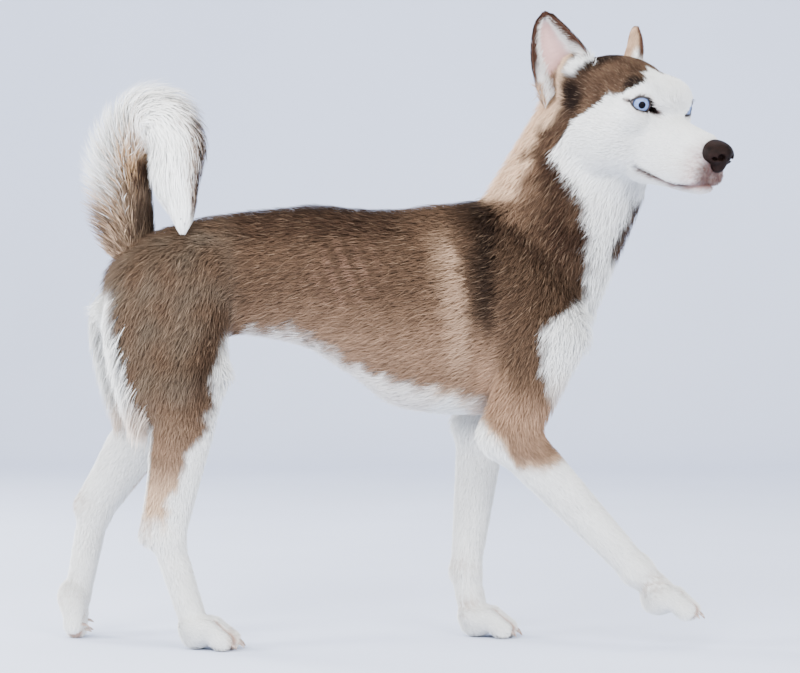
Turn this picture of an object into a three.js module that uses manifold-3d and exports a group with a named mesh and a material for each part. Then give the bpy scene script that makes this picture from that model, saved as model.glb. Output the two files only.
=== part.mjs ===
// A young siberian husky in mid-stride, life size, for a museum stand-alone display.
// Millimetres, +Z up. The dog walks along +X and its right side faces -Y.
// The flesh is one smooth field of muscles and bones; each node is a capsule grown out to that
// field's surface, then parted from its neighbours along thin planes.

import * as THREE from "three";
import { mergeVertices } from "three/addons/utils/BufferGeometryUtils.js";
import Module from "manifold-3d";

const wasm = await Module();
wasm.setup();

// Driving dimensions.
const gap = 0.3; // clearance that touching nodes keep
const eyeRadius = 12;
const lidThickness = 2.2;
const earThickness = 3.2;
const clawLength = 13;
const tailLock = { length: 60, wide: 15, thick: 2.8 }; // a lock of the brush: half width, half thickness
const breechLock = { length: 50, wide: 10, thick: 2.6 };

// Pose of the head: turned to the dog's right, with the nose a little down.
const headTurn = { yaw: 48.5, pitch: 16.5, roll: 0 };
const headPlace = [261, -68, 553]; // midway between the eyes

// Joints and other landmarks, by side. Right is the side nearer the viewer.
// A paw points `dip` degrees below level. In its own frame its toe tips sit `curl` below the knuckles,
// its claws point `claw` degrees up, and each is seated at [forward, up] from the toe's tip.
const fore = {
  right: {
    blade: [92, -34, 432],
    shoulder: [160, -46, 326],
    elbow: [108, -52, 216],
    wrist: [243, -44, 80],
    knuckles: [265, -42, 60],
    paw: { dip: 10, curl: 16, claw: -24, seat: [3.5, 1.5] },
  },
  left: {
    blade: [88, 34, 430],
    shoulder: [152, 47, 326],
    elbow: [84, 50, 222],
    wrist: [70, 42, 70],
    knuckles: [78, 39, 27],
    paw: { dip: 0, curl: 18.5, claw: -30, seat: [3.5, 1.5] },
  },
};
const hind = {
  right: {
    hip: [-238, -34, 386],
    knee: [-216, -47, 282],
    hock: [-239, -54, 112],
    heel: [-259, -54, 116],
    knuckles: [-211, -59, 27],
    paw: { dip: 0, curl: 18.5, claw: -30, seat: [3.5, 1.5] },
    breech: [[-272, -30, 346], [-254, -42, 250]],
    fringe: [[-302, -33, 350], [-302, -36, 318], [-293, -40, 276], [-281, -43, 236], [-272, -45, 208]],
  },
  left: {
    hip: [-244, 34, 386],
    knee: [-238, 45, 278],
    hock: [-327, 42, 132],
    heel: [-344, 42, 142],
    knuckles: [-343, 36, 46],
    paw: { dip: 80, curl: 8, claw: 76, seat: [-1, 4] },
    breech: [[-299, 28, 344], [-285, 38, 242]],
    fringe: [[-328, 30, 350], [-331, 32, 318], [-324, 36, 276], [-312, 38, 240], [-300, 39, 208]],
  },
};
const neckBase = [132, 0, 386];
const neckTop = [207, -6, 534];

// Trunk outline at stations along the spine: x, top, bottom, half width.
const trunkStations = [
  [-304, 372, 338, 8],
  [-292, 404, 316, 28],
  [-270, 424, 306, 42],
  [-236, 437, 305, 50],
  [-200, 446, 311, 51],
  [-166, 451, 321, 48],
  [-126, 455, 316, 49],
  [-84, 458, 302, 56],
  [-40, 454, 274, 63],
  [0, 454, 248, 67],
  [42, 459, 240, 68],
  [84, 460, 239, 66],
  [126, 447, 242, 62],
  [154, 424, 252, 54],
  [172, 392, 276, 40],
  [184, 360, 318, 12],
];

// Small vector tools on plain arrays.
const add = (a, b, s = 1) => [a[0] + s * b[0], a[1] + s * b[1], a[2] + s * b[2]];
const dot = (a, b) => a[0] * b[0] + a[1] * b[1] + a[2] * b[2];
const cross = (a, b) => [
  a[1] * b[2] - a[2] * b[1],
  a[2] * b[0] - a[0] * b[2],
  a[0] * b[1] - a[1] * b[0],
];
const unit = (a) => a.map((v) => v / Math.hypot(...a));
const mix = (a, b, t) => a.map((v, i) => v + t * (b[i] - v));
const mirrored = ([x, y, z]) => [x, -y, z];
const radians = THREE.MathUtils.degToRad;

// Distance to an oval: k0 and k1 are the usual scaled norms of a point in its axes.
function ovalDistance(offsets, sizes) {
  let k0 = 0;
  let k1 = 0;
  for (let i = 0; i < offsets.length; i++) {
    const q = offsets[i] / sizes[i];
    k0 += q * q;
    k1 += (q / sizes[i]) ** 2;
  }
  k0 = Math.sqrt(k0);
  k1 = Math.sqrt(k1);
  return k1 < 1e-9 ? -Math.min(...sizes) : (k0 * (k0 - 1)) / k1;
}

// A tapered length of leg, neck or muzzle: oval in section, [depth, width] half sizes at each end.
function limb(a, b, sizeA, sizeB, blend) {
  const span = add(b, a, -1);
  const length = Math.hypot(...span);
  const along = unit(span);
  const side = unit(add([0, 1, 0], along, -dot([0, 1, 0], along)));
  const front = cross(side, along);
  return {
    blend,
    distance(p) {
      const v = add(p, a, -1);
      const u = dot(v, along);
      const t = Math.min(1, Math.max(0, u / length));
      const depth = sizeA[0] + t * (sizeB[0] - sizeA[0]);
      const width = sizeA[1] + t * (sizeB[1] - sizeA[1]);
      const over = u - t * length;
      return ovalDistance([dot(v, front), dot(v, side), over], [depth, width, Math.min(depth, width)]);
    },
  };
}

// A muscle belly, cheek or brow: an oval solid along the frame's own axes.
function belly(centre, sizes, blend) {
  return { blend, distance: (p) => ovalDistance(add(p, centre, -1), sizes) };
}

// The trunk: oval sections whose top, bottom and width run smoothly through the stations.
function trunk(stations, blend) {
  const level = (row) => (row[1] * 0.55 + row[2] * 0.45);
  const slope = (i, k) => {
    const before = stations[Math.max(0, i - 1)];
    const after = stations[Math.min(stations.length - 1, i + 1)];
    return (after[k] - before[k]) / (after[0] - before[0]);
  };
  const value = (x, i, k) => {
    const [a, b] = [stations[i], stations[i + 1]];
    const h = b[0] - a[0];
    const t = (x - a[0]) / h;
    const [t2, t3] = [t * t, t * t * t];
    return (2 * t3 - 3 * t2 + 1) * a[k] + (t3 - 2 * t2 + t) * h * slope(i, k)
      + (3 * t2 - 2 * t3) * b[k] + (t3 - t2) * h * slope(i + 1, k);
  };
  const first = stations[0][0];
  const last = stations[stations.length - 1][0];
  return {
    blend,
    distance(p) {
      const x = Math.min(last - 0.01, Math.max(first + 0.01, p[0]));
      const i = stations.findIndex((row, n) => n + 1 < stations.length && x < stations[n + 1][0]);
      const row = [x, value(x, i, 1), value(x, i, 2), Math.max(4, value(x, i, 3))];
      const middle = level(row);
      const height = p[2] > middle ? row[1] - middle : middle - row[2];
      const section = ovalDistance([p[1], p[2] - middle], [row[3], Math.max(4, height)]);
      return section + Math.abs(p[0] - x);
    },
  };
}

// One shape out of many, with every meeting rounded by the shapes' own blend.
function joined(shapes) {
  return (p) => {
    let d = 1e9;
    for (const shape of shapes) {
      const e = shape.distance(p);
      const h = Math.max(shape.blend - Math.abs(d - e), 0) / shape.blend;
      d = Math.min(d, e) - h * h * shape.blend * 0.25;
    }
    return d;
  };
}

// The head's own frame: x along the muzzle, y to the dog's left, z up, origin midway between the eyes.
const headMatrix = new THREE.Matrix4()
  .makeRotationFromEuler(new THREE.Euler(
    radians(headTurn.roll), radians(headTurn.pitch), radians(-headTurn.yaw), "ZYX"))
  .setPosition(...headPlace);
const headInverse = headMatrix.clone().invert();
const fromHead = (p) => new THREE.Vector3(...p).applyMatrix4(headMatrix).toArray();
const toHead = (p) => new THREE.Vector3(...p).applyMatrix4(headInverse).toArray();
const inHead = (shape) => ({ blend: shape.blend, distance: (p) => shape.distance(toHead(p)) });
const bothSides = (make) => [make(-1), make(1)];

const eyeCentre = (side) => [4, side * 31, 4];
const noseCentre = [93, 0, -27];

const headForms = [
  belly([-50, 0, 3], [62, 49, 40], 10),
  belly([-46, 0, -34], [48, 42, 38], 16),
  belly([2, 0, 10], [34, 30, 20], 14),
  limb([4, 0, -37], [76, 0, -37], [38, 32], [28, 19], 16),
  limb([6, 0, -60], [76, 0, -57], [16, 20], [9, 12], 10),
  ...bothSides((s) => belly([-34, s * 30, -34], [44, 26, 40], 16)),
  ...bothSides((s) => belly([-6, s * 30, -15], [26, 15, 14], 12)),
  ...bothSides((s) => belly([-4, s * 22, 18], [21, 16, 13], 12)),
  ...bothSides((s) => belly(eyeCentre(s), [13.4, 13.4, 13.4], 12)),
  ...bothSides((s) => belly([60, s * 13, -50], [34, 11, 15], 10)),
  ...bothSides((s) => belly([-78, s * 40, 12], [24, 20, 28], 14)),
];
const headShapes = headForms.map(inHead);

function foreLeg({ blade, shoulder, elbow, wrist, knuckles }) {
  return {
    upper: [
      limb(blade, shoulder, [40, 18], [38, 22], 26),
      limb(shoulder, elbow, [38, 23], [30, 20], 24),
    ],
    lower: [
      limb(add(elbow, [4, 0, 4]), wrist, [27, 19], [16, 14], 16),
      limb(wrist, knuckles, [16, 15], [15, 17], 10),
    ],
  };
}

function hindLeg({ hip, knee, hock, heel, knuckles, breech }) {
  return {
    upper: [
      limb(breech[0], breech[1], [15, 18], [8, 10], 22),
      limb(hip, knee, [60, 32], [42, 25], 28),
      limb(add(hip, [-30, 0, -40]), add(knee, [-34, 0, -10]), [34, 26], [26, 20], 24),
    ],
    lower: [
      limb(knee, hock, [40, 24], [18, 13], 20),
      limb(mix(knee, heel, 0.5), heel, [15, 9], [10, 9], 12),
      limb(hock, knuckles, [17, 13], [14, 16], 10),
    ],
  };
}

const legs = {
  right: { fore: foreLeg(fore.right), hind: hindLeg(hind.right) },
  left: { fore: foreLeg(fore.left), hind: hindLeg(hind.left) },
};
const trunkShape = trunk(trunkStations, 20);
const neckShapes = [
  limb(neckBase, neckTop, [80, 54], [68, 50], 26),
  limb([170, 0, 372], [214, -4, 490], [34, 36], [40, 40], 26),
];
const forechest = belly([150, 0, 336], [27, 38, 42], 18);
const everything = [
  trunkShape,
  forechest,
  ...neckShapes,
  ...headShapes,
  ...Object.values(legs).flatMap(({ fore: f, hind: h }) => [...f.upper, ...f.lower, ...h.upper, ...h.lower]),
];
const flesh = joined(everything);

// Walks from a point inside the flesh along a ray, and gives the distance at which it comes out.
function reach(field, origin, direction, limit) {
  let s = 0;
  let d = field(origin);
  if (d >= 0) return 0;
  while (d < -0.02 && s < limit) {
    s += Math.max(-d * 0.8, 0.4);
    d = field(add(origin, direction, s));
  }
  if (s >= limit) return limit;
  let low = Math.max(0, s - 4);
  let high = s;
  for (let n = 0; n < 18; n++) {
    const middle = (low + high) / 2;
    if (field(add(origin, direction, middle)) < 0) low = middle;
    else high = middle;
  }
  return high;
}

// A capsule round the line from a to b, each vertex moved out to the surface of the whole flesh.
// A ray stops `spill` past the surface of the node's own shapes, inside its neighbour.
function grow(a, b, own, around, along, cap, spill = 16, field = flesh) {
  const length = Math.hypot(...add(b, a, -1));
  const shell = new THREE.CapsuleGeometry(1, length, cap, around, along);
  const axis = unit(add(b, a, -1));
  const side = unit(add([0, 1, 0], axis, -dot([0, 1, 0], axis)));
  const basis = new THREE.Matrix4().makeBasis(
    new THREE.Vector3(...cross(axis, side)), new THREE.Vector3(...axis), new THREE.Vector3(...side));
  basis.setPosition(...mix(a, b, 0.5));
  const position = shell.getAttribute("position");
  const normal = shell.getAttribute("normal");
  const ownField = joined(own);
  for (let i = 0; i < position.count; i++) {
    const out = new THREE.Vector3().fromBufferAttribute(normal, i);
    const core = new THREE.Vector3().fromBufferAttribute(position, i).sub(out).applyMatrix4(basis).toArray();
    const ray = out.transformDirection(basis).toArray();
    const bare = reach(ownField, core, ray, 400);
    const far = Math.max(2, reach(field, core, ray, bare + spill));
    position.setXYZ(i, ...add(core, ray, far));
  }
  return solid(shell);
}

// A closed geometry as a manifold solid.
function solid(geometry) {
  const bare = geometry.index ? geometry.toNonIndexed() : geometry.clone();
  const points = new THREE.BufferGeometry().setAttribute("position", bare.getAttribute("position"));
  const merged = mergeVertices(points, 1e-3);
  return closed(merged.getAttribute("position").array, merged.index.array);
}
function closed(vertProperties, faces) {
  const made = new wasm.Manifold(new wasm.Mesh({ numProp: 3, vertProperties, triVerts: new Uint32Array(faces) }));
  if (made.volume() > 0) return made;
  const turned = Uint32Array.from(faces).reverse();
  return new wasm.Manifold(new wasm.Mesh({ numProp: 3, vertProperties, triVerts: turned }));
}
const meshSolid = (points, faces) => closed(new Float32Array(points.flat()), faces);

// Rings of points, one after another, closed by a fan at each end.
function ringSolid(rings) {
  const count = rings[0].length;
  const faces = [];
  for (let i = 0; i + 1 < rings.length; i++) {
    for (let j = 0; j < count; j++) {
      const [a, b] = [i * count + j, i * count + ((j + 1) % count)];
      faces.push(a, b, b + count, a, b + count, a + count);
    }
  }
  const end = (rings.length - 1) * count;
  for (let j = 1; j + 1 < count; j++) faces.push(0, j + 1, j, end, end + j, end + j + 1);
  return meshSolid(rings.flat(), faces);
}

// A bent, tapering rod: points along it, and [width, thickness] half sizes at each of them.
function sweep(points, sizes, steps, around, up = [0, 0, 1]) {
  const path = new THREE.CatmullRomCurve3(points.map((p) => new THREE.Vector3(...p)));
  const size = new THREE.CatmullRomCurve3(sizes.map(([w, h]) => new THREE.Vector3(w, h, 0)));
  const rings = [];
  for (let i = 0; i <= steps; i++) {
    const along = path.getTangent(i / steps).toArray();
    const side = unit(cross(up, along));
    const top = cross(along, side);
    const { x: wide, y: high } = size.getPoint(i / steps);
    const ring = [];
    for (let j = 0; j < around; j++) {
      const angle = (2 * Math.PI * j) / around;
      const p = add(path.getPoint(i / steps).toArray(), side, wide * Math.cos(angle));
      ring.push(add(p, top, high * Math.sin(angle)));
    }
    rings.push(ring);
  }
  return ringSolid(rings);
}

// The largest body of a solid: loose scraps and sealed hollows are dropped.
function largest(shape) {
  return shape.decompose().sort((a, b) => b.volume() - a.volume())[0];
}

// The same solid with fewer faces, none moved by more than the tolerance.
const lighter = (shape, tolerance) => shape.asOriginal().simplify(tolerance);

// A block that fills everything on the far side of a plane, `shift` past the point.
function block(point, normal, shift = 0, size = 1200) {
  const geometry = new THREE.BoxGeometry(size, size, size).translate(0, 0, size / 2);
  const n = new THREE.Vector3(...normal).normalize();
  geometry.applyQuaternion(new THREE.Quaternion().setFromUnitVectors(new THREE.Vector3(0, 0, 1), n));
  geometry.translate(...add(point, n.toArray(), shift));
  return solid(geometry);
}
// Keeps the part of a shape behind a plane, half a gap short of it.
const trimmed = (shape, point, normal) => shape.subtract(block(point, normal, -gap / 2));

// Planes between nodes. Each normal points from the first node to the second.
const planes = {
  neck: { point: [152, 0, 424], normal: [0.48, 0, 0.88] },
  loin: { point: [-28, 0, 350], normal: [-1, 0, 0] },
  rump: { point: [-172, 0, 380], normal: [-1, 0, 0] },
};

const flip = (v) => v.map((n) => -n);

// Blocks that hold a whole leg: on its own side of the middle, beyond a slanting plane, and in front
// of or behind a cross plane.
function legBlock(side, outer, inner, crossPoint, crossNormal, shift) {
  const slant = unit(cross([side, 0, 0], add(inner, outer, -1)));
  return block(outer, slant, shift).intersect(block(crossPoint, crossNormal, shift))
    .intersect(block([0, 0, 0], [0, side, 0], shift));
}
const armBlock = (side, shift) =>
  legBlock(side, [0, side * 74, 380], [0, side * 12, 256], [62, 0, 0], [1, 0, 0], shift);
const thighBlock = (side, shift) =>
  legBlock(side, [0, side * 60, 396], [0, side * 5, 304], [-176, 0, 0], [-1, 0, 0], shift);

// The space of the head: in front of the nape and above the throat, in the head's frame.
const headSpaceOwn = (shift) => block([-86, 0, -60], [0.9, 0, 0.436], shift)
  .intersect(block([-50, 0, -80], [0.08, 0, 1], shift));
const headSpace = (shift) => headSpaceOwn(shift).transform(headMatrix.elements);

const across = (from, to, t = 1) => ({ point: mix(from, to, t), normal: unit(add(to, from, -1)) });
const cuts = {};
for (const name of ["right", "left"]) {
  const [f, h] = [fore[name], hind[name]];
  cuts[name] = {
    elbow: { point: add(f.elbow, [0, 0, -12]), normal: unit(add(f.wrist, f.elbow, -1)) },
    wrist: across(f.wrist, f.knuckles, 0.1),
    knee: { point: add(h.knee, [0, 0, -16]), normal: unit(add(h.hock, h.knee, -1)) },
    hock: across(h.hock, h.knuckles, 0.2),
    sole: across(h.hock, h.knuckles, 0.7),
  };
}

const solids = {};

// Seeded draws between -1 and 1, so that every build is the same.
function draws(seed) {
  let state = seed;
  return () => {
    state = (state * 48271) % 2147483647;
    return (state / 2147483647) * 2 - 1;
  };
}

// One flat lock: it widens above its sunk root, bends along `line` and tapers to its tip.
// `flat` gives the direction of its width; `extra` swells it for the room its neighbours leave.
const lockProfile = [[0, 0.7, 1], [0.36, 1, 1], [0.74, 0.66, 0.7], [1, 0.07, 0.3]];
function lock(line, flat, { wide, thick }, extra = 0) {
  const rings = lockProfile.map(([s, w, h]) => {
    const along = unit(add(line(s + 0.03), line(s - 0.03), -1));
    const across = unit(add(flat(s), along, -dot(flat(s), along)));
    const up = cross(across, along);
    const middle = add(line(s), along, s === 1 ? extra : 0);
    const [half, high] = [wide * w + extra * 1.5, thick * h + extra * 1.5];
    return [add(middle, across, half), add(middle, up, high), add(middle, across, -half), add(middle, up, -high)];
  });
  return ringSolid(rings);
}

// Long hair down the back of each thigh. Every lock ends on the fringe line and hangs from above it.
function breechLocks(fringe, side, extra = 0) {
  const edge = new THREE.CatmullRomCurve3(fringe.map((p) => new THREE.Vector3(...p)));
  const draw = draws(side === 1 ? 811 : 277);
  const count = 13;
  const locks = [];
  for (let i = 0; i < count; i++) {
    const u = i / (count - 1);
    const lane = [0, -1, 1][i % 3];
    const stretch = 1 + 0.12 * draw();
    const tip = add(edge.getPoint(u).toArray(), [lane === 0 ? 0 : 5, lane * 8 + 1.5 * draw(), 0]);
    const root = add(tip, [20 - 6 * u, lane * -3, breechLock.length * stretch]);
    const bend = [-3 + 2 * draw(), lane * 3, 3];
    const line = (s) => add(mix(root, tip, s), bend, 4 * s * (1 - s));
    const flat = () => [0.25 + 0.55 * Math.abs(lane), 1 - 0.75 * Math.abs(lane), 0];
    locks.push(lock(line, flat, breechLock, extra));
  }
  return wasm.Manifold.union(locks);
}

// Trunk, neck, upper arms and thighs are grown as one body, then parted.
const trunkStart = [-262, 0, 366];
const trunkEnd = [160, 0, 340];
const trunkShapes = [trunkShape, forechest];
const trunkGrown = (field) => grow(trunkStart, trunkEnd, trunkShapes, 28, 22, 5, 6, field);
const neckGrown = grow([140, 0, 400], [205, -4, 540], neckShapes, 24, 8, 4, 6);
const thighGrown = (name, field) =>
  grow(add(hind[name].hip, [-4, 0, -20]), hind[name].knee, legs[name].hind.upper, 18, 7, 4, 5, field);
let body = trunkGrown(flesh).add(neckGrown);
for (const [name, side] of [["right", -1], ["left", 1]]) {
  const f = fore[name];
  const arm = grow(add(f.shoulder, [-10, 0, 14]), f.elbow, legs[name].fore.upper, 18, 7, 4, 5);
  const thigh = thighGrown(name, flesh);
  body = body.add(trimmed(arm, cuts[name].elbow.point, cuts[name].elbow.normal))
    .add(trimmed(thigh, cuts[name].knee.point, cuts[name].knee.normal));
}
body = body.simplify(1.6);
for (const [name, side] of [["right", -1], ["left", 1]]) {
  solids[`upper_arm_${name}`] = largest(body.intersect(armBlock(side, gap / 2)));
  const thighSpace = thighBlock(side, gap / 2);
  const hair = breechLocks(hind[name].fringe, side).intersect(thighSpace);
  solids[`thigh_${name}`] = largest(body.intersect(thighSpace).add(hair));
}
for (const side of [-1, 1]) {
  body = body.subtract(armBlock(side, -gap / 2)).subtract(thighBlock(side, -gap / 2));
}
body = body.subtract(headSpace(-gap / 2));
const { neck: neckCut, loin: loinCut, rump: rumpCut } = planes;
solids.neck = largest(trimmed(body, neckCut.point, flip(neckCut.normal)));
body = trimmed(body, neckCut.point, neckCut.normal);
solids.chest = largest(trimmed(body, loinCut.point, loinCut.normal));
body = trimmed(body, loinCut.point, flip(loinCut.normal));
solids.loin = largest(trimmed(body, rumpCut.point, rumpCut.normal));
solids.rump = largest(trimmed(body, rumpCut.point, flip(rumpCut.normal)));

// Head: the skull and muzzle in the head's own frame, with an eye socket behind a lid on each side.
const placedHead = (shape) => shape.transform(headMatrix.elements);
const otherSide = (shape) => shape.mirror([0, 1, 0]);
const ball = (radius, centre, across = 14) =>
  solid(new THREE.SphereGeometry(radius, across, across / 2).translate(...centre));

// The right eye's frame: x out through the pupil, y towards the nose, z up.
const eyeMatrix = new THREE.Matrix4()
  .makeRotationFromEuler(new THREE.Euler(radians(-6), radians(-3), radians(-22), "ZYX"))
  .setPosition(...eyeCentre(-1));
// The opening between the right eye's lids, as a bar of almond section.
function almond() {
  const outline = new THREE.Shape();
  outline.moveTo(-12.5, -0.5);
  outline.bezierCurveTo(-7, 7.6, 6, 10.4, 13.5, -1);
  outline.quadraticCurveTo(16, -3.4, 18.5, -5.2);
  outline.quadraticCurveTo(15, -5.6, 12, -5);
  outline.bezierCurveTo(4, -9.6, -8, -8.4, -12.5, -0.5);
  const bar = new THREE.ExtrudeGeometry(outline, { depth: 30, bevelEnabled: false, curveSegments: 6 });
  bar.applyMatrix4(new THREE.Matrix4().makeBasis(
    new THREE.Vector3(0, 1, 0), new THREE.Vector3(0, 0, 1), new THREE.Vector3(1, 0, 0)));
  return solid(bar).transform(eyeMatrix.elements);
}

// The nose leather, `extra` larger for the socket that holds it.
function noseSolid(extra) {
  const shapes = [
    belly(noseCentre, [15 + extra, 16 + extra, 16 + extra], 5),
    ...bothSides((s) => belly([95, s * 8.5, -27], [11 + extra, 8 + extra, 10 + extra], 5)),
  ];
  return grow([90, 0, -27], [92, 0, -27], shapes, 16, 1, 5, 0, joined(shapes)).simplify(0.2)
    .subtract(block([86 - extra, 0, -27], [-1, 0, -0.15]));
}
// Nostrils, each a hole with a slit running back round the side, and the groove between them.
function carvedNose() {
  let nose = noseSolid(0);
  for (const side of [-1, 1]) {
    const hole = new THREE.SphereGeometry(1, 8, 6).scale(6, 3.1, 3.6).rotateZ(side * 0.6);
    nose = nose.subtract(solid(hole.translate(106, side * 7.2, -27)));
    const slit = new THREE.SphereGeometry(1, 8, 4).scale(6, 2.6, 1.5).rotateZ(side * 1.1);
    nose = nose.subtract(solid(slit.translate(101.5, side * 12, -29.5)));
  }
  const groove = new THREE.CylinderGeometry(1.1, 1.1, 24, 6).rotateX(Math.PI / 2).translate(109, 0, -40);
  return largest(nose.subtract(solid(groove)));
}

// The mouth line seen from the side, from its corner to the front of the lips.
const mouthLine = [[8, -59], [16, -61], [26, -63], [38, -64], [51, -66], [64, -65.5], [76, -63], [88, -59],
  [98, -54], [118, -49]];
// Everything below the mouth line and in front of its corner, moved down by `drop`.
function jawSpace(drop) {
  const outline = new THREE.Shape();
  outline.moveTo(mouthLine[0][0] + drop, mouthLine[0][1] - drop);
  for (const [x, z] of mouthLine.slice(1)) outline.lineTo(x, z - drop);
  outline.lineTo(118, -110);
  outline.lineTo(2 + drop, -110);
  outline.closePath();
  const bar = new THREE.ExtrudeGeometry(outline, { depth: 90, bevelEnabled: false });
  return solid(bar.rotateX(Math.PI / 2).translate(0, 45, 0));
}

// The right ear: a leaf between its two edges, cupped away from the way it faces.
const earFront = unit([0.72, -0.66, -0.1]);
const earInner = [[-58, -32, 20], [-71, -42, 42], [-88, -54, 58], [-103, -61, 69], [-113, -65.5, 75]];
const earOuter = [[-98, -60, -26], [-106, -74, 2], [-112, -80, 26], [-117, -77, 50], [-118, -69, 73]];
function earLeaf(rows, columns) {
  const curve = (points) => new THREE.CatmullRomCurve3(points.map((p) => new THREE.Vector3(...p)));
  const [inner, outer] = [curve(earInner), curve(earOuter)];
  const sheet = (inset) => {
    const points = [];
    for (let i = 0; i <= rows; i++) {
      const [a, b] = [inner.getPoint(i / rows), outer.getPoint(i / rows)];
      const chord = b.clone().sub(a);
      const edge = Math.min(inset, chord.length() * 0.3);
      chord.normalize();
      a.addScaledVector(chord, edge);
      b.addScaledVector(chord, -edge);
      const depth = 22 * (1 - i / rows) ** 0.8 + 3;
      for (let j = 0; j <= columns; j++) {
        const angle = (Math.PI * j) / columns;
        const cup = (depth - Math.min(inset, depth * 0.7)) * Math.sin(angle);
        const p = a.clone().lerp(b, (1 - Math.cos(angle)) / 2).toArray();
        points.push(add(p, earFront, -cup));
      }
    }
    return points;
  };
  return closedSheets(sheet(0), sheet(earThickness), rows, columns);
}
// Two sheets of points joined into one closed skin round all four edges.
function closedSheets(outside, inside, rows, columns) {
  const at = (i, j, layer) => layer * outside.length + i * (columns + 1) + j;
  const faces = [];
  const quad = (a, b, c, d) => faces.push(a, b, c, a, c, d);
  for (let i = 0; i < rows; i++) {
    for (let j = 0; j < columns; j++) {
      quad(at(i, j, 0), at(i + 1, j, 0), at(i + 1, j + 1, 0), at(i, j + 1, 0));
      quad(at(i, j, 1), at(i, j + 1, 1), at(i + 1, j + 1, 1), at(i + 1, j, 1));
    }
    quad(at(i, 0, 1), at(i + 1, 0, 1), at(i + 1, 0, 0), at(i, 0, 0));
    quad(at(i, columns, 0), at(i + 1, columns, 0), at(i + 1, columns, 1), at(i, columns, 1));
  }
  for (let j = 0; j < columns; j++) {
    quad(at(0, j, 0), at(0, j + 1, 0), at(0, j + 1, 1), at(0, j, 1));
    quad(at(rows, j, 1), at(rows, j + 1, 1), at(rows, j + 1, 0), at(rows, j, 0));
  }
  return meshSolid([...outside, ...inside], faces);
}
// The space of the right ear's node: a block beyond a plane across the foot of the ear.
function earSpace(shift) {
  const [a, b] = [[-71, -42, 41], [-106, -72, -2]];
  const chord = unit(add(b, a, -1));
  const up = unit(cross(chord, earFront));
  const box = new THREE.BoxGeometry(84, 66, 110).translate(0, 0, 55 + shift);
  box.applyMatrix4(new THREE.Matrix4().makeBasis(
    new THREE.Vector3(...chord), new THREE.Vector3(...cross(up, chord)), new THREE.Vector3(...up)));
  return solid(box.translate(...mix(a, b, 0.5)));
}

const skull = grow([-58, 0, -14], [62, 0, -38], headForms, 28, 19, 6, 5, (p) => flesh(fromHead(p)))
  .add(neckGrown.transform(headInverse.elements)).simplify(0.8);
const ear = earLeaf(8, 8);
let head = skull.intersect(headSpaceOwn(gap / 2)).add(ear).add(otherSide(ear));
for (const side of [-1, 1]) head = head.add(ball(eyeRadius + lidThickness, eyeCentre(side)));
for (const side of [-1, 1]) head = head.subtract(ball(eyeRadius + gap, eyeCentre(side)));
head = head.subtract(almond()).subtract(otherSide(almond()));
solids.eye_right = placedHead(ball(eyeRadius, eyeCentre(-1)));
solids.eye_left = placedHead(ball(eyeRadius, eyeCentre(1)));
head = head.subtract(noseSolid(gap));
solids.nose = placedHead(carvedNose());
solids.jaw = placedHead(largest(head.intersect(jawSpace(0.5))));
head = head.subtract(jawSpace(-0.5));
solids.ear_right = placedHead(largest(head.intersect(earSpace(gap / 2))));
solids.ear_left = placedHead(largest(head.intersect(otherSide(earSpace(gap / 2)))));
head = head.subtract(earSpace(-gap / 2)).subtract(otherSide(earSpace(-gap / 2)));
solids.head = largest(placedHead(head.intersect(headSpaceOwn(gap / 2))));

// Paws: a pad and four bent toes, each toe with a claw in its own socket.
const toeRows = [
  { across: -18, bend: 13, reach: 31 },
  { across: -6.6, bend: 20, reach: 38 },
  { across: 6.6, bend: 20, reach: 38 },
  { across: 18, bend: 13, reach: 31 },
];
const clawShape = (extra) => sweep(
  [[-extra, 0, 0], [clawLength * 0.55, 0, 0.6], [clawLength + extra, 0, -1.4]],
  [[3.2 + extra, 2.6 + extra], [2.6 + extra, 2 + extra], [0.7 + extra, 0.6 + extra]], 3, 5);

function paw(name, { wrist, hock, knuckles, paw: set }, lower, topCut) {
  const frame = new THREE.Matrix4().makeRotationY(radians(set.dip)).setPosition(...knuckles);
  const inverse = frame.clone().invert();
  const inPaw = (shape) => ({
    blend: shape.blend,
    distance: (p) => shape.distance(new THREE.Vector3(...p).applyMatrix4(inverse).toArray()),
  });
  const out = (p) => new THREE.Vector3(...p).applyMatrix4(frame).toArray();
  const start = wrist ?? hock;
  const pad = inPaw(belly([-1, 0, -16], [17, 18, 12], 8));
  const roots = toeRows.map((t) => inPaw(limb([-10, t.across * 0.6, -2], [t.bend, t.across, -5], [11, 11], [10, 9.5], 5)));
  const baseField = joined([...lower, pad, ...roots]);
  const base = grow(mix(start, knuckles, 0.3), out([4, 0, -9]), [...lower, pad, ...roots], 12, 3, 3, 0, baseField);
  let shape = base;
  const claws = [];
  toeRows.forEach((t, i) => {
    const tip = [t.reach, t.across * 1.08, -set.curl];
    const parts = [
      inPaw(limb([-2, t.across * 0.8, -4], [t.bend, t.across, -5], [10.5, 10], [10.2, 9.6], 5)),
      inPaw(limb([t.bend, t.across, -5], tip, [10.2, 9.6], [8.6, 8.6], 5)),
    ];
    const core = [out([t.bend * 0.6, t.across * 0.93, -7]), out(mix([t.bend, t.across, -5], tip, 0.8))];
    shape = shape.add(grow(core[0], core[1], parts, 7, 2, 2, 0, joined(parts)));
    const pose = new THREE.Matrix4().makeRotationY(radians(-set.claw))
      .setPosition(...add(tip, [set.seat[0], 0, set.seat[1]])).premultiply(frame);
    claws.push([`claw_${name}_${i + 1}`, pose]);
  });
  shape = lighter(shape, 0.9);
  for (const [node, pose] of claws) {
    shape = shape.subtract(clawShape(gap).transform(pose.elements));
    solids[node] = clawShape(0).transform(pose.elements);
  }
  shape = trimmed(shape, topCut.point, flip(topCut.normal));
  solids[`paw_${name}`] = largest(shape.subtract(block([0, 0, 0], [0, 0, -1])));
}

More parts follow.
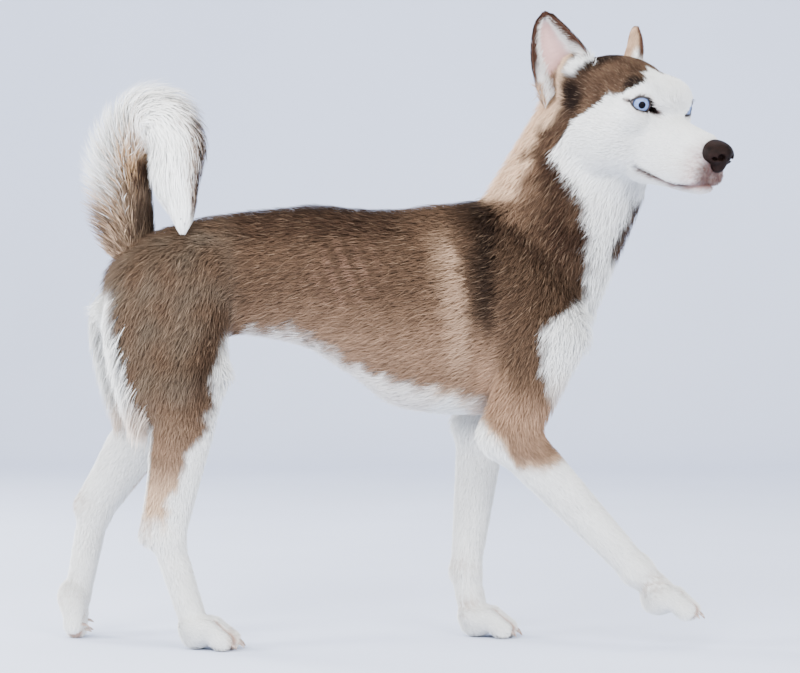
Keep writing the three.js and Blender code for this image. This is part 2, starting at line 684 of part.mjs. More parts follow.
// Lower legs, between the cuts at their joints.
function between(shape, top, bottom) {
  return largest(trimmed(trimmed(shape, top.point, flip(top.normal)), bottom.point, bottom.normal));
}
for (const name of ["right", "left"]) {
  const [f, h, cut] = [fore[name], hind[name], cuts[name]];
  const { fore: frontLeg, hind: backLeg } = legs[name];
  const [arm, leg] = [frontLeg.lower, backLeg.lower];
  const forearm = grow(add(f.elbow, [0, 0, -4]), f.wrist, [...arm, ...frontLeg.upper], 14, 8, 3, 10);
  solids[`forearm_${name}`] = between(forearm, cut.elbow, cut.wrist);
  paw(`fore_${name}`, f, arm, cut.wrist);
  const shank = grow(h.knee, h.hock, [...leg, ...backLeg.upper], 16, 9, 3, 10)
    .subtract(breechLocks(h.fringe, name === "left" ? 1 : -1, gap));
  solids[`shank_${name}`] = between(shank, cut.knee, cut.hock);
  solids[`cannon_${name}`] = between(grow(h.hock, h.knuckles, leg, 12, 5, 3, 8), cut.hock, cut.sole);
  paw(`hind_${name}`, h, leg, cut.sole);
}

// Tail: up from the rump, over, and down on the right with its tip beside the croup.
// Each point of its path has the coat's reach outwards, inwards and sideways.
const tailPath = [
  { at: [-276, 4, 396], out: 26, in: 15, side: 20 },
  { at: [-277, 5, 436], out: 38, in: 19, side: 25 },
  { at: [-277, 5, 476], out: 51, in: 16, side: 28 },
  { at: [-273, 0, 514], out: 52, in: 14, side: 31 },
  { at: [-253, -13, 540], out: 44, in: 26, side: 32 },
  { at: [-234, -26, 516], out: 38, in: 13, side: 28 },
  { at: [-228, -37, 478], out: 24, in: 15, side: 22 },
  { at: [-223, -44, 446], out: 11, in: 11, side: 12 },
  { at: [-224, -47, 424], out: 2.5, in: 2.5, side: 2.5 },
];
const tailCurve = new THREE.CatmullRomCurve3(tailPath.map((s) => new THREE.Vector3(...s.at)));
const tailReach = new THREE.CatmullRomCurve3(tailPath.map((s) => new THREE.Vector3(s.out, s.in, s.side)));
// A point of the brush: t along it, an angle round it from the outer side, and a share of the coat's reach.
function tailPoint(t, angle, share) {
  const along = tailCurve.getTangent(t).toArray();
  const side = unit(add([0, 1, 0], along, -dot([0, 1, 0], along)));
  const outward = cross(along, side);
  const [far, near, wide] = tailReach.getPoint(t).toArray();
  const depth = Math.cos(angle) * (Math.cos(angle) > 0 ? far : near);
  const centre = add(tailCurve.getPoint(t).toArray(), outward, depth * share);
  return add(centre, side, wide * Math.sin(angle) * share);
}
// The dense core of the brush between two places along it.
const tailCore = 0.5;
function tailLength(from, to, steps, around) {
  const rings = [];
  for (let i = 0; i <= steps; i++) {
    const ring = [];
    for (let j = 0; j < around; j++) {
      ring.push(tailPoint(from + ((to - from) * i) / steps, (2 * Math.PI * j) / around, tailCore));
    }
    rings.push(ring);
  }
  return ringSolid(rings);
}
// Its locks: rows of tips spread evenly along and round the brush, each rooted in the core between
// `from` and `to`. The last rows lie over the next length, which leaves room for them.
function tailLocks({ from, to, firstTip, lastTip, rows, around, seed, bare = -1 }, extra = 0) {
  const draw = draws(seed);
  const total = tailCurve.getLength();
  const locks = [];
  for (let i = 0; i < rows; i++) {
    for (let j = 0; j < around; j++) {
      const end = Math.min(lastTip, firstTip + (lastTip - firstTip) * (i / (rows - 1) + (0.3 * draw()) / rows));
      const free = end - (tailLock.length * (1 + 0.15 * draw())) / total;
      const start = Math.min(to - 0.03, Math.max(from + 0.012, free));
      const angle = (2 * Math.PI * (j + 0.5 * (i % 2) + 0.16 * draw())) / around;
      if (Math.cos(angle) < bare) continue; // no locks crowd into the inside of the bend
      const turn = 0.22 * draw();
      const rise = 1.14 - 0.14 * Math.abs(draw());
      const line = (s) => tailPoint(
        Math.min(1, start + (end - start) * s), angle + turn * s, 0.28 + (rise - 0.28) * Math.max(0, s) ** 0.75);
      const flat = (s) => {
        const t = Math.min(1, start + (end - start) * s);
        return add(tailPoint(t, angle + 0.2, 1), tailPoint(t, angle - 0.2, 1), -1);
      };
      const [far, near, wide] = tailReach.getPoint((start + end) / 2).toArray();
      const room = Math.min(1, (Math.max(far, near) + wide) / 64);
      const size = { wide: tailLock.wide * room, thick: tailLock.thick * (0.6 + 0.4 * room) };
      locks.push(lock(line, flat, size, extra));
    }
  }
  return wasm.Manifold.union(locks);
}
const clearance = 0.0014;
const brushes = {
  tail_base: { from: 0, to: 0.3, firstTip: 0.07, lastTip: 0.37, rows: 4, around: 6, seed: 31 },
  tail_top: { from: 0.3 + clearance, to: 0.62, firstTip: 0.42, lastTip: 0.69, rows: 4, around: 6, seed: 57, bare: -0.75 },
  tail_tip: { from: 0.62 + clearance, to: 1, firstTip: 0.74, lastTip: 0.995, rows: 4, around: 5, seed: 83 },
};
const brush = (size, steps) => lighter(tailLength(size.from, size.to, steps, 8).add(tailLocks(size)), 0.6);
const justOutside = (p) => flesh(p) - 1.2;
const rumpSocket = trunkGrown(justOutside).add(thighGrown("right", justOutside)).add(thighGrown("left", justOutside));
solids.tail_base = largest(brush(brushes.tail_base, 4).subtract(rumpSocket));
solids.tail_top = largest(brush(brushes.tail_top, 5).subtract(tailLocks(brushes.tail_base, gap)));
solids.tail_tip = largest(brush(brushes.tail_tip, 5).subtract(tailLocks(brushes.tail_top, gap)));

// Every solid becomes a mesh of the group. Its points are merged once more, as a pinched hollow
// can close only then.
function geometryOf(shape) {
  const data = shape.getMesh();
  const geometry = new THREE.BufferGeometry();
  geometry.setAttribute("position", new THREE.BufferAttribute(new Float32Array(data.vertProperties), 3));
  geometry.setIndex(new THREE.BufferAttribute(new Uint32Array(data.triVerts), 1));
  return geometry;
}
function meshOf(name, shape, material, tolerance) {
  const light = largest(lighter(largest(shape), tolerance));
  const geometry = geometryOf(largest(solid(geometryOf(light))));
  geometry.computeVertexNormals();
  const mesh = new THREE.Mesh(geometry, material);
  mesh.name = name;
  return mesh;
}
const finish = (color, roughness) => new THREE.MeshStandardMaterial({ color, roughness, metalness: 0 });
const finishes = {
  eye: finish(0x9fc4e0, 0.1),
  nose: finish(0x2a1c18, 0.5),
  claw: finish(0x6b5a4e, 0.5),
  coat: finish(0x7a5a44, 0.9),
};
const tolerances = { eye: 0.02, claw: 0.05, nose: 0.1, head: 0.16, jaw: 0.16, ear: 0.1, tail: 0.12, paw: 0.12 };
const dog = new THREE.Group();
for (const [name, shape] of Object.entries(solids)) {
  const kind = name.split("_")[0];
  dog.add(meshOf(name, shape, finishes[kind] ?? finishes.coat, tolerances[kind] ?? 0.2));
}
// The frame's origin is the middle of the floor under the whole.
const bounds = new THREE.Box3().setFromObject(dog);
dog.position.set(-(bounds.min.x + bounds.max.x) / 2, -(bounds.min.y + bounds.max.y) / 2, -bounds.min.z);

export default dog;
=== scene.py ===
"""A walking siberian husky, life size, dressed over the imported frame.

The body plan below repeats the named sizes of the part's own source, in millimetres: x towards the
dog's front, y to its left, z up from the floor. `row` turns a plan point into the frame's metres.
"""

import math

import bmesh
import bpy
import numpy as np
from mathutils import Matrix, Vector
from mathutils.kdtree import KDTree


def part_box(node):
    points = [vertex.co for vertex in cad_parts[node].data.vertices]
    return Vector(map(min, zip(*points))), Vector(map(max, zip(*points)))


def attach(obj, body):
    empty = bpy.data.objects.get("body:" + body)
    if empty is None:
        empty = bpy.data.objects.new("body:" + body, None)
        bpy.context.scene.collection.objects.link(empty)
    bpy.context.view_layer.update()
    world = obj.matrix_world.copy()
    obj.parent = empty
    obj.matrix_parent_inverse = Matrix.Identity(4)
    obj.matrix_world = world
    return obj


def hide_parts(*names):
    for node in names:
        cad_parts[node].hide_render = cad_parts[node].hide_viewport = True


bl_info = {
    "name": "Walking husky",
    "version": (1, 0, 0),
    "blender": (4, 5, 0),
    "location": "View3D > Sidebar > Husky",
    "description": "Skin, coat, brush, ears, eyes, nose, whiskers and a plain studio for a life-size husky",
    "category": "Object",
}

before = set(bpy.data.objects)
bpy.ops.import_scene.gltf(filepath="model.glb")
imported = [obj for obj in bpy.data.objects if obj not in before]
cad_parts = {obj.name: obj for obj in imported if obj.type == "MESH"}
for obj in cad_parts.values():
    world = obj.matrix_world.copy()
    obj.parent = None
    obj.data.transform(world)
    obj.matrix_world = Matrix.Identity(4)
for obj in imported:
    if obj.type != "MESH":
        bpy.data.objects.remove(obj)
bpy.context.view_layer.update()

FLESH_NODES = [
    "chest", "loin", "rump", "neck", "head", "jaw", "tail_base", "tail_top", "tail_tip",
    *[f"{part}_{side}" for side in ("right", "left")
      for part in ("upper_arm", "forearm", "paw_fore", "thigh", "shank", "cannon", "paw_hind")],
]

# Body plan: the same names and sizes as the source of the solids.

HEAD_TURN = {"yaw": 48.5, "pitch": 16.5}
HEAD_PLACE = np.array([261.0, -68.0, 553.0])
EYE_RADIUS = 12.0

FORE = {
    "right": {"blade": (92, -34, 432), "shoulder": (160, -46, 326), "elbow": (108, -52, 216),
              "wrist": (243, -44, 80), "knuckles": (265, -42, 60), "dip": 10, "curl": 16},
    "left": {"blade": (88, 34, 430), "shoulder": (152, 47, 326), "elbow": (84, 50, 222),
             "wrist": (70, 42, 70), "knuckles": (78, 39, 27), "dip": 0, "curl": 18.5},
}
HIND = {
    "right": {"hip": (-238, -34, 386), "knee": (-216, -47, 282), "hock": (-239, -54, 112),
              "heel": (-259, -54, 116), "knuckles": (-211, -59, 27), "dip": 0, "curl": 18.5,
              "breech": [(-272, -30, 346), (-254, -42, 250)],
              "fringe": [(-306, -31, 352), (-309, -33, 318), (-301, -37, 276), (-288, -41, 236),
                         (-276, -44, 208)]},
    "left": {"hip": (-244, 34, 386), "knee": (-238, 45, 278), "hock": (-327, 42, 132),
             "heel": (-337, 42, 143), "knuckles": (-343, 36, 46), "dip": 80, "curl": 8,
             "breech": [(-299, 28, 344), (-285, 38, 242)],
             "fringe": [(-328, 30, 350), (-331, 32, 318), (-324, 36, 276), (-312, 38, 240), (-300, 39, 208)]},
}
TRUNK = np.array([  # x, top, bottom, half width
    (-304, 372, 338, 8), (-292, 404, 316, 28), (-270, 424, 306, 42), (-236, 437, 305, 50),
    (-200, 446, 311, 51), (-166, 451, 321, 48), (-126, 455, 316, 49), (-84, 458, 302, 56),
    (-40, 454, 274, 63), (0, 454, 248, 67), (42, 459, 240, 68), (84, 460, 239, 66),
    (126, 447, 242, 62), (154, 424, 252, 54), (172, 392, 276, 40), (184, 360, 318, 12)], float)
TAIL = np.array([  # x, y, z, reach outwards, inwards, sideways
    (-276, 4, 396, 26, 15, 20), (-277, 5, 436, 38, 19, 25), (-277, 5, 476, 51, 16, 28),
    (-273, 0, 514, 52, 14, 31), (-253, -13, 540, 44, 28, 32), (-234, -26, 516, 37, 29, 28),
    (-228, -37, 478, 22, 30, 22), (-223, -44, 446, 11, 15, 12), (-224, -47, 424, 2.5, 2.5, 2.5)], float)
BRUSH_LENGTH = 330.0  # of the tail's curve, for the reach of its locks
TOES = [(-18, 13, 31), (-6.6, 20, 38), (6.6, 20, 38), (18, 13, 31)]  # across, bend, reach

FORM_MARGIN = 30  # mm round a form's box inside which it still blends with its neighbours
GRID_MARGIN = 26  # the same on the skin's grid
SKIN_SHADE = 0.86  # painted shade: the skin is this much darker than the hair that stands on it, for the shadow of the coat over it
LARGEST_PIECE = 40000  # tufts in one coat piece
UNWRAP_SAMPLES = 40000  # skin faces tried for a lock's place on the unwrap
LOCK_TAPER = (0.75, 1.0, 0.86, 0.55)  # a lock's width from root towards tip
LOCK_RINGS = 5
PATCH = 0.0015  # half size of a hair's place on the bake map

PICTURE_WIDTH = 800  # px
FOCAL_LENGTH = 2285.7  # px
SENSOR_WIDTH = 36  # mm
CAMERA_HEIGHT = 320  # mm
PAPER_HALF_WIDTH = 7.0
PAPER_BEND = 3.2  # where the floor starts to rise
PAPER_RADIUS = 0.9
PAPER_TOP = 5.5
LAMPS = (  # name, place, aim, size, watts
    ("key", (-1.3, -3.0, 2.3), (0, 0, 0.35), 2.0, 145.0),
    ("fill", (1.9, -2.9, 1.2), (0, 0, 0.35), 2.0, 112.0),
    ("top", (0.1, 0.3, 3.2), (0, 0, 0.3), 2.2, 46.0),
    ("kicker", (-2.6, -0.9, 1.1), (-0.28, 0, 0.42), 1.0, 85.0),
    ("rim", (-2.4, 1.5, 1.1), (-0.3, 0, 0.4), 1.0, 100.0),
    ("catch", (0.9, -2.4, 1.5), (0.3, 0, 0.55), 0.12, 12.0),
    ("brush", (-0.9, -2.6, 1.3), (-0.255, 0, 0.52), 0.3, 420.0),
)
SPOT_LAMP = "brush"
SPOT_ANGLE = 8  # degrees
SKY = (0.93, 0.95, 1.0, 1)
SKY_STRENGTH = 1.36


# Vector tools. Points are rows of an array.

def unit(v):
    v = np.asarray(v, float)
    return v / np.maximum(np.linalg.norm(v, axis=-1, keepdims=True), 1e-9)


def turn(axis, degrees):
    return np.array(Matrix.Rotation(math.radians(degrees), 3, axis))


def ramp(value, low, high):
    """0 below low, 1 above high, smooth between. Low may be the larger."""
    t = np.clip((value - low) / (high - low), 0, 1)
    return t * t * (3 - 2 * t)


def ripple(p, size, seed=0.0):
    """A soft, irregular wave between about -1 and 1, `size` mm from crest to crest."""
    q = np.asarray(p) * (2 * math.pi / size)
    a = np.sin(q[:, 0] + 1.7 * np.sin(0.61 * q[:, 1] + seed) + seed)
    b = np.sin(0.83 * q[:, 2] + 1.3 * np.sin(0.74 * q[:, 0] - seed) + 2.1 * seed)
    c = np.sin(0.91 * q[:, 1] + 1.5 * np.sin(0.57 * q[:, 2] + 2 * seed) - seed)
    return (a + b + c) / 3


def curve(points, t):
    """Catmull-Rom curve through rows of numbers, at shares t of it."""
    points = np.asarray(points, float)
    t = np.clip(np.asarray(t, float), 0, 1) * (len(points) - 1)
    i = np.minimum(t.astype(int), len(points) - 2)
    f = (t - i)[..., None]
    padded = np.vstack([2 * points[0] - points[1], points, 2 * points[-1] - points[-2]])
    a, b, c, d = padded[i], padded[i + 1], padded[i + 2], padded[i + 3]
    return 0.5 * (2 * b + (c - a) * f + (2 * a - 5 * b + 4 * c - d) * f ** 2
                  + (3 * b - a - 3 * c + d) * f ** 3)


def grid_of(axes):
    return np.stack(np.meshgrid(*axes, indexing="ij"), axis=-1)


HEAD_AXES = turn("Z", -HEAD_TURN["yaw"]) @ turn("Y", HEAD_TURN["pitch"])


def from_head(p):
    return np.asarray(p, float) @ HEAD_AXES.T + HEAD_PLACE


def to_head(p):
    return (np.asarray(p, float) - HEAD_PLACE) @ HEAD_AXES


def eye_centre(side):
    return np.array([4.0, 31.0 * side, 4.0])


def eye_axes(side):
    """Columns: out through the lids' opening, towards the nose, up. In the head's frame."""
    axes = turn("Z", -22) @ turn("Y", -3) @ turn("X", -6)
    if side > 0:
        axes = np.diag([1, -1, 1]) @ axes
    return axes


# The plan's origin in the frame, found from the middle of one eye.
EYE_IN_FRAME = np.mean([list(corner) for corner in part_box("eye_right")], axis=0) * 1000
PLAN_SHIFT = EYE_IN_FRAME - from_head(eye_centre(-1))


def row(p):
    """Plan millimetres to the frame's metres."""
    return (np.asarray(p, float) + PLAN_SHIFT) / 1000


# Flesh: forms whose surfaces run into each other.

class Form:
    """A muscle, bone or pad: its distance, the box it fills, and the way its hair lies."""

    def __init__(self, part, distance, low, high, blend, lie):
        self.part = part
        self.distance = distance
        self.low = np.asarray(low, float)
        self.high = np.asarray(high, float)
        self.blend = blend
        self.lie = lie

    def near(self, points):
        inside = (points > self.low - FORM_MARGIN) & (points < self.high + FORM_MARGIN)
        return np.flatnonzero(np.all(inside, axis=1))

    def melt(self, old, new):
        """The smaller of two distances, rounded off where they are alike."""
        h = np.maximum(self.blend - np.abs(old - new), 0) / self.blend
        return np.minimum(old, new) - h * h * self.blend * 0.25


def oval(offsets, sizes):
    k0 = np.sqrt(sum((o / s) ** 2 for o, s in zip(offsets, sizes)))
    k1 = np.sqrt(sum((o / (s * s)) ** 2 for o, s in zip(offsets, sizes)))
    return k0 * (k0 - 1) / np.maximum(k1, 1e-6)


def limb(part, a, b, size_a, size_b, blend, lie=None):
    a, b = np.asarray(a, float), np.asarray(b, float)
    length = np.linalg.norm(b - a)
    along = (b - a) / length
    side = unit(np.array([0, 1, 0]) - along[1] * along)
    front = np.cross(side, along)

    def distance(p):
        v = p - a
        u = v @ along
        t = np.clip(u / length, 0, 1)
        depth = size_a[0] + t * (size_b[0] - size_a[0])
        width = size_a[1] + t * (size_b[1] - size_a[1])
        return oval([v @ front, v @ side, u - t * length], [depth, width, np.minimum(depth, width)])

    size = max(*size_a, *size_b)
    lie = unit(along if lie is None else lie)
    return Form(part, distance, np.minimum(a, b) - size, np.maximum(a, b) + size, blend, lambda p: lie)


def belly(part, centre, sizes, blend, lie):
    centre, sizes = np.asarray(centre, float), np.asarray(sizes, float)
    lie = unit(lie)

    def distance(p):
        v = p - centre
        return oval(v.T, sizes)

    return Form(part, distance, centre - sizes, centre + sizes, blend, lambda p: lie)


def trunk(blend):
    x, rows = TRUNK[:, 0], TRUNK[:, 1:]
    slopes = np.vstack([(rows[1] - rows[0]) / (x[1] - x[0]),
                        (rows[2:] - rows[:-2]) / (x[2:] - x[:-2])[:, None],
                        (rows[-1] - rows[-2]) / (x[-1] - x[-2])])

    def section(px):
        i = np.clip(np.searchsorted(x, px, side="right") - 1, 0, len(x) - 2)
        h = (x[i + 1] - x[i])[:, None]
        t = ((px - x[i])[:, None]) / h
        return ((2 * t ** 3 - 3 * t ** 2 + 1) * rows[i] + (t ** 3 - 2 * t ** 2 + t) * h * slopes[i]
                + (3 * t ** 2 - 2 * t ** 3) * rows[i + 1] + (t ** 3 - t ** 2) * h * slopes[i + 1])

    def distance(p):
        px = np.clip(p[:, 0], x[0] + 0.01, x[-1] - 0.01)
        top, bottom, wide = section(px).T
        middle = 0.55 * top + 0.45 * bottom
        height = np.where(p[:, 2] > middle, top - middle, middle - bottom)
        section_gap = oval([p[:, 1], p[:, 2] - middle], [np.maximum(wide, 4), np.maximum(height, 4)])
        return section_gap + np.abs(p[:, 0] - px)

    return Form("trunk", distance, (x[0], -68, 238), (x[-1], 68, 461), blend, lambda p: unit((-1, 0, -0.32)))


def in_head(form):
    """A form given in the head's frame, placed in the body plan. Its hair runs back from the nose."""
    placed = from_head(grid_of(np.stack([form.low, form.high]).T).reshape(-1, 3))

    def lie(p):
        q = to_head(p)
        spread = np.stack([-np.ones(len(q)), 0.012 * q[:, 1], 0.012 * (q[:, 2] + 20)], axis=1)
        return unit(spread) @ HEAD_AXES.T

    return Form(form.part, lambda p: form.distance(to_head(p)), placed.min(0), placed.max(0), form.blend, lie)


def in_paw(form, axes, place):
    placed = np.array([form.low, form.high]).mean(0) @ axes.T + place
    reach = np.linalg.norm(form.high - form.low) / 2
    lie = unit(form.lie(None) @ axes.T)
    return Form(form.part, lambda p: form.distance((p - place) @ axes), placed - reach, placed + reach,
                form.blend, lambda p: lie)


def head_forms():
    back = (-1, 0, 0)
    forms = [
        belly("head", (-50, 0, 3), (62, 49, 40), 10, back),
        belly("head", (-46, 0, -34), (48, 42, 38), 16, back),
        belly("head", (2, 0, 10), (34, 30, 20), 14, back),
        limb("muzzle", (4, 0, -37), (76, 0, -37), (38, 32), (28, 19), 16, back),
        limb("muzzle", (6, 0, -60), (76, 0, -57), (16, 20), (9, 12), 10, back),
        belly("muzzle", (62, 0, -60), (34, 13, 11), 8, back),
    ]
    for s in (-1, 1):
        forms += [
            belly("head", (-34, s * 30, -34), (44, 26, 40), 16, back),
            belly("head", (-6, s * 30, -15), (26, 15, 14), 12, back),
            belly("head", (-4, s * 22, 18), (21, 16, 13), 12, back),
            belly("lid", eye_centre(s), (13.4, 13.4, 13.4), 12, back),
            belly("muzzle", (60, s * 13, -50), (34, 11, 15), 10, back),
            belly("head", (-78, s * 40, 12), (24, 20, 28), 14, back),
        ]
    return [in_head(form) for form in forms]


def paw_forms(leg):
    axes = turn("Y", leg["dip"])
    place = np.array(leg["knuckles"], float)
    on_toe_tips = leg["dip"] > 40
    sole = -0.5 * leg["curl"] - 5
    forms = [
        belly("paw", (2, 0, -9 if on_toe_tips else -15), (15, 17, 12), 14, (1, 0, -0.3)),
        belly("paw", (14, 0, sole), (20, 19, 11 if on_toe_tips else 8), 8, (1, 0, -0.3)),
    ]
    for across, bend, reach in TOES:
        tip = (reach, across * 1.08, -leg["curl"])
        forms += [
            limb("paw", (-4, across * 0.6, -3), (bend, across, -5), (10.5, 9), (11.4, 8.2), 8),
            limb("paw", (bend, across, -5), tip, (11.4, 8.2), (10.8, 8.3), 2.6),
        ]
    return [in_paw(form, axes, place) for form in forms]


def leg_forms():
    forms = []
    for side in ("right", "left"):
        f, h = FORE[side], HIND[side]
        e = np.array(f["elbow"], float)
        hip, knee, hock, heel = (np.array(h[k], float) for k in ("hip", "knee", "hock", "heel"))
        down = (-0.34, 0, -0.94)
        forms += [
            limb("arm", f["blade"], f["shoulder"], (40, 18), (38, 22), 26, down),
            limb("arm", f["shoulder"], e, (38, 23), (30, 20), 24, down),
            limb("forearm", e + (4, 0, 4), f["wrist"], (27, 19), (16, 14), 16),
            limb("forearm", f["wrist"], f["knuckles"], (16, 15), (15, 17), 10),
            *paw_forms(f),
            limb("thigh", h["breech"][0], h["breech"][1], (15, 18), (8, 10), 22, (-0.1, 0, -1)),
            limb("thigh", hip, knee, (60, 32), (42, 25), 28, (-0.4, 0, -0.92)),
            limb("thigh", hip + (-30, 0, -40), knee + (-34, 0, -10), (34, 26), (26, 20), 24,
                 (-0.3, 0, -0.95)),
            limb("shank", knee, hock, (40, 24), (18, 13), 20),
            limb("shank", (knee + heel) / 2, heel, (15, 9), (10, 9), 12),
            limb("cannon", hock, h["knuckles"], (17, 13), (14, 16), 10),
            *paw_forms(h),
        ]
    return forms


def tail_forms():
    """The bone and wool of the tail, under its long hair."""
    steps = curve(TAIL, np.linspace(0, 0.97, 11))
    forms = []
    for a, b in zip(steps[:-1], steps[1:]):
        core = [max(2.0, 0.30 * end[3:6].mean()) for end in (a, b)]
        forms.append(limb("tail", a[:3], b[:3], (core[0],) * 2, (core[1],) * 2, 6))
    return forms


FORMS = [
    trunk(20),
    belly("chest", (150, 0, 336), (27, 38, 42), 18, (0, 0, -1)),
    limb("neck", (132, 0, 386), (207, -6, 534), (80, 54), (68, 50), 26, (-0.62, 0, -0.9)),
    limb("chest", (170, 0, 372), (214, -4, 490), (34, 36), (40, 40), 26, (-0.1, 0, -1)),
    *head_forms(),
    *leg_forms(),
    *tail_forms(),
]

# Coat by part: hair length, half width of a tuft, and mm between tufts.
HAIR = {
    "trunk": (17, 0.55, 1.5), "chest": (21, 0.55, 1.5), "neck": (20, 0.55, 1.45), "head": (8, 0.42, 1.0),
    "lid": (3, 0.35, 0.85), "muzzle": (4, 0.38, 0.85), "arm": (15, 0.5, 1.35), "forearm": (8, 0.42, 1.1),
    "thigh": (17, 0.55, 1.45), "shank": (10, 0.45, 1.25), "cannon": (7, 0.42, 1.1), "paw": (4.5, 0.38, 0.95),
    "tail": (14, 0.7, 2.0),
}


def flesh(points):
    """Distance to the surface of the whole dog at coat level, for rows of points."""
    d = np.full(len(points), 1e3)
    for form in FORMS:
        near = form.near(points)
        if not len(near):
            continue
        d[near] = form.melt(d[near], form.distance(points[near]))
    return d


def flesh_on(axes):
    """The same on a grid, each form only in its own box."""
    d = np.full([len(a) for a in axes], 1e3, np.float32)
    for form in FORMS:
        spans = [np.searchsorted(a, (form.low[k] - GRID_MARGIN, form.high[k] + GRID_MARGIN))
                 for k, a in enumerate(axes)]
        if any(hi <= lo for lo, hi in spans):
            continue
        block = tuple(slice(lo, hi) for lo, hi in spans)
        p = grid_of([a[s] for a, s in zip(axes, block)]).reshape(-1, 3)
        d[block] = form.melt(d[block].ravel(), form.distance(p)).reshape(d[block].shape)
    return d


def coat_depth(p):
    """Millimetres between the skin and the tips of the short hair."""
    depth = 2.6 + 5.4 * ramp(p[:, 2], 190, 290) - 0.8 * ramp(p[:, 2], 60, 40)
    neck = np.linalg.norm((p - (168, 0, 440)) / (1, 1, 1.3), axis=1)
    depth += 3.2 * ramp(neck, 110, 50)
    q = to_head(p)
    skull = np.linalg.norm((q - (-35, 0, -12)) / (1, 0.8, 0.9), axis=1)
    depth += (3.0 - depth) * ramp(skull, 96, 66)
    muzzle = np.linalg.norm(q - (62, 0, -40), axis=1)
    depth += (1.5 - depth) * ramp(muzzle, 70, 44)
    eyes = np.minimum(*(np.linalg.norm(q - eye_centre(s), axis=1) for s in (-1, 1)))
    depth += (1.2 - depth) * ramp(eyes, 28, 16)
    tail = ramp(p[:, 0], -205, -222) * ramp(p[:, 2], 436, 452)
    return depth + (0.5 - depth) * tail


# Upper and lower edges of the lids' opening, in the eye's frame: y towards the nose, z up.
LID_Y = np.array([-12.5, -10, -6, -1, 4, 9, 12, 14.5, 18.5])
LID_TOP = np.array([-0.5, 2.9, 5.9, 7.2, 6.9, 4.2, 1.4, -1.4, -5.2])
LID_BOTTOM = np.array([-0.5, -3.8, -6.2, -7.0, -6.6, -5.5, -4.9, -5.0, -5.2])
MOUTH = np.array([(8, -59), (16, -61), (26, -63), (38, -64), (51, -66), (64, -65.5), (76, -63), (88, -59),
                  (98, -54), (118, -49)], float)


def lid_gap(q, side):
    """How far a point of the head's frame is outside the lids' opening, seen along the eye's own axis."""
    e = (q - eye_centre(side)) @ eye_axes(side)
    top = np.interp(e[:, 1], LID_Y, LID_TOP)
    bottom = np.interp(e[:, 1], LID_Y, LID_BOTTOM)
    ends = np.maximum(LID_Y[0] - e[:, 1], e[:, 1] - LID_Y[-1])
    return np.maximum(np.maximum(e[:, 2] - top, bottom - e[:, 2]), ends), e


def carve(p, d):
    """Eye sockets and the line of the mouth, cut into the skin."""
    q = to_head(p)
    for side in (-1, 1):
        ball = np.linalg.norm(q - eye_centre(side), axis=1)
        lid = ball - (EYE_RADIUS + 1.6)
        h = np.maximum(3 - np.abs(d - lid), 0) / 3
        d = np.minimum(d, lid) - h * h * 0.75
        gap, e = lid_gap(q, side)
        pocket = np.maximum(np.where(e[:, 0] > 0, gap, 30), EYE_RADIUS - 2 - ball)
        d = np.where(ball < 30, np.maximum(d, -pocket), d)
    line = q[:, 2] - np.interp(q[:, 0], MOUTH[:, 0], MOUTH[:, 1])
    inside = ramp(q[:, 0], 8, 16) * ramp(np.abs(q[:, 1]), 60, 50) * ramp(q[:, 0], 112, 106)
    return d + inside * 3.4 * np.exp(-(line / 1.5) ** 2)


def skin_field(p):
    d = flesh(p)
    near = np.abs(d) < 24
    q = p[near]
    d[near] = carve(q, d[near] + coat_depth(q))
    return d


# Surface of a field on a grid: one point in each cell that it crosses, joined across the cells' edges.

def spaced(start, *legs):
    values = [np.array([start], float)]
    for stop, step in legs:
        count = max(1, round((stop - values[-1][-1]) / step))
        values.append(np.linspace(values[-1][-1], stop, count + 1)[1:])
    return np.concatenate(values)


def surface(values, axes):
    inside = values < 0
    shape = np.array(values.shape) - 1
    count = np.zeros(shape, np.int8)
    for i in (0, 1):
        for j in (0, 1):
            for k in (0, 1):
                count += inside[i:i + shape[0], j:j + shape[1], k:k + shape[2]]
    active = (count > 0) & (count < 8)
    cells = np.argwhere(active)
    index = np.full(shape, -1)
    index[active] = np.arange(len(cells))
    total = np.zeros((len(cells), 3))
    hits = np.zeros(len(cells))
    for axis in range(3):
        u, v = [k for k in range(3) if k != axis]
        for du in (0, 1):
            for dv in (0, 1):
                a = cells.copy()
                a[:, u] += du
                a[:, v] += dv
                b = a.copy()
                b[:, axis] += 1
                va, vb = values[tuple(a.T)], values[tuple(b.T)]
                cut = (va < 0) != (vb < 0)
                t = np.where(cut, va / np.where(cut, va - vb, 1), 0)
                place = np.stack([axes[k][a[:, k]] for k in range(3)], axis=1)
                place[:, axis] += t * (axes[axis][b[:, axis]] - axes[axis][a[:, axis]])
                total[cut] += place[cut]
                hits += cut
    faces = []
    for axis in range(3):
        u, v = (axis + 1) % 3, (axis + 2) % 3
        a = np.take(inside, range(values.shape[axis] - 1), axis)
        b = np.take(inside, range(1, values.shape[axis]), axis)
        edges = np.argwhere(a != b)
        edges = edges[(edges[:, u] > 0) & (edges[:, u] < shape[u])
                      & (edges[:, v] > 0) & (edges[:, v] < shape[v])]
        ring = []
        for du, dv in ((-1, -1), (0, -1), (0, 0), (-1, 0)):
            c = edges.copy()
            c[:, u] += du
            c[:, v] += dv
            ring.append(index[tuple(c.T)])
        quads = np.stack(ring, axis=1)
        out = a[tuple(edges.T)]
        faces.append(np.where(out[:, None], quads, quads[:, ::-1]))
    return total / hits[:, None], np.concatenate(faces)


def gradient(field, p, step=0.4):
    base = field(p)
    slope = np.stack([field(p + step * np.eye(3)[k]) - base for k in range(3)], axis=1) / step
    return base, slope


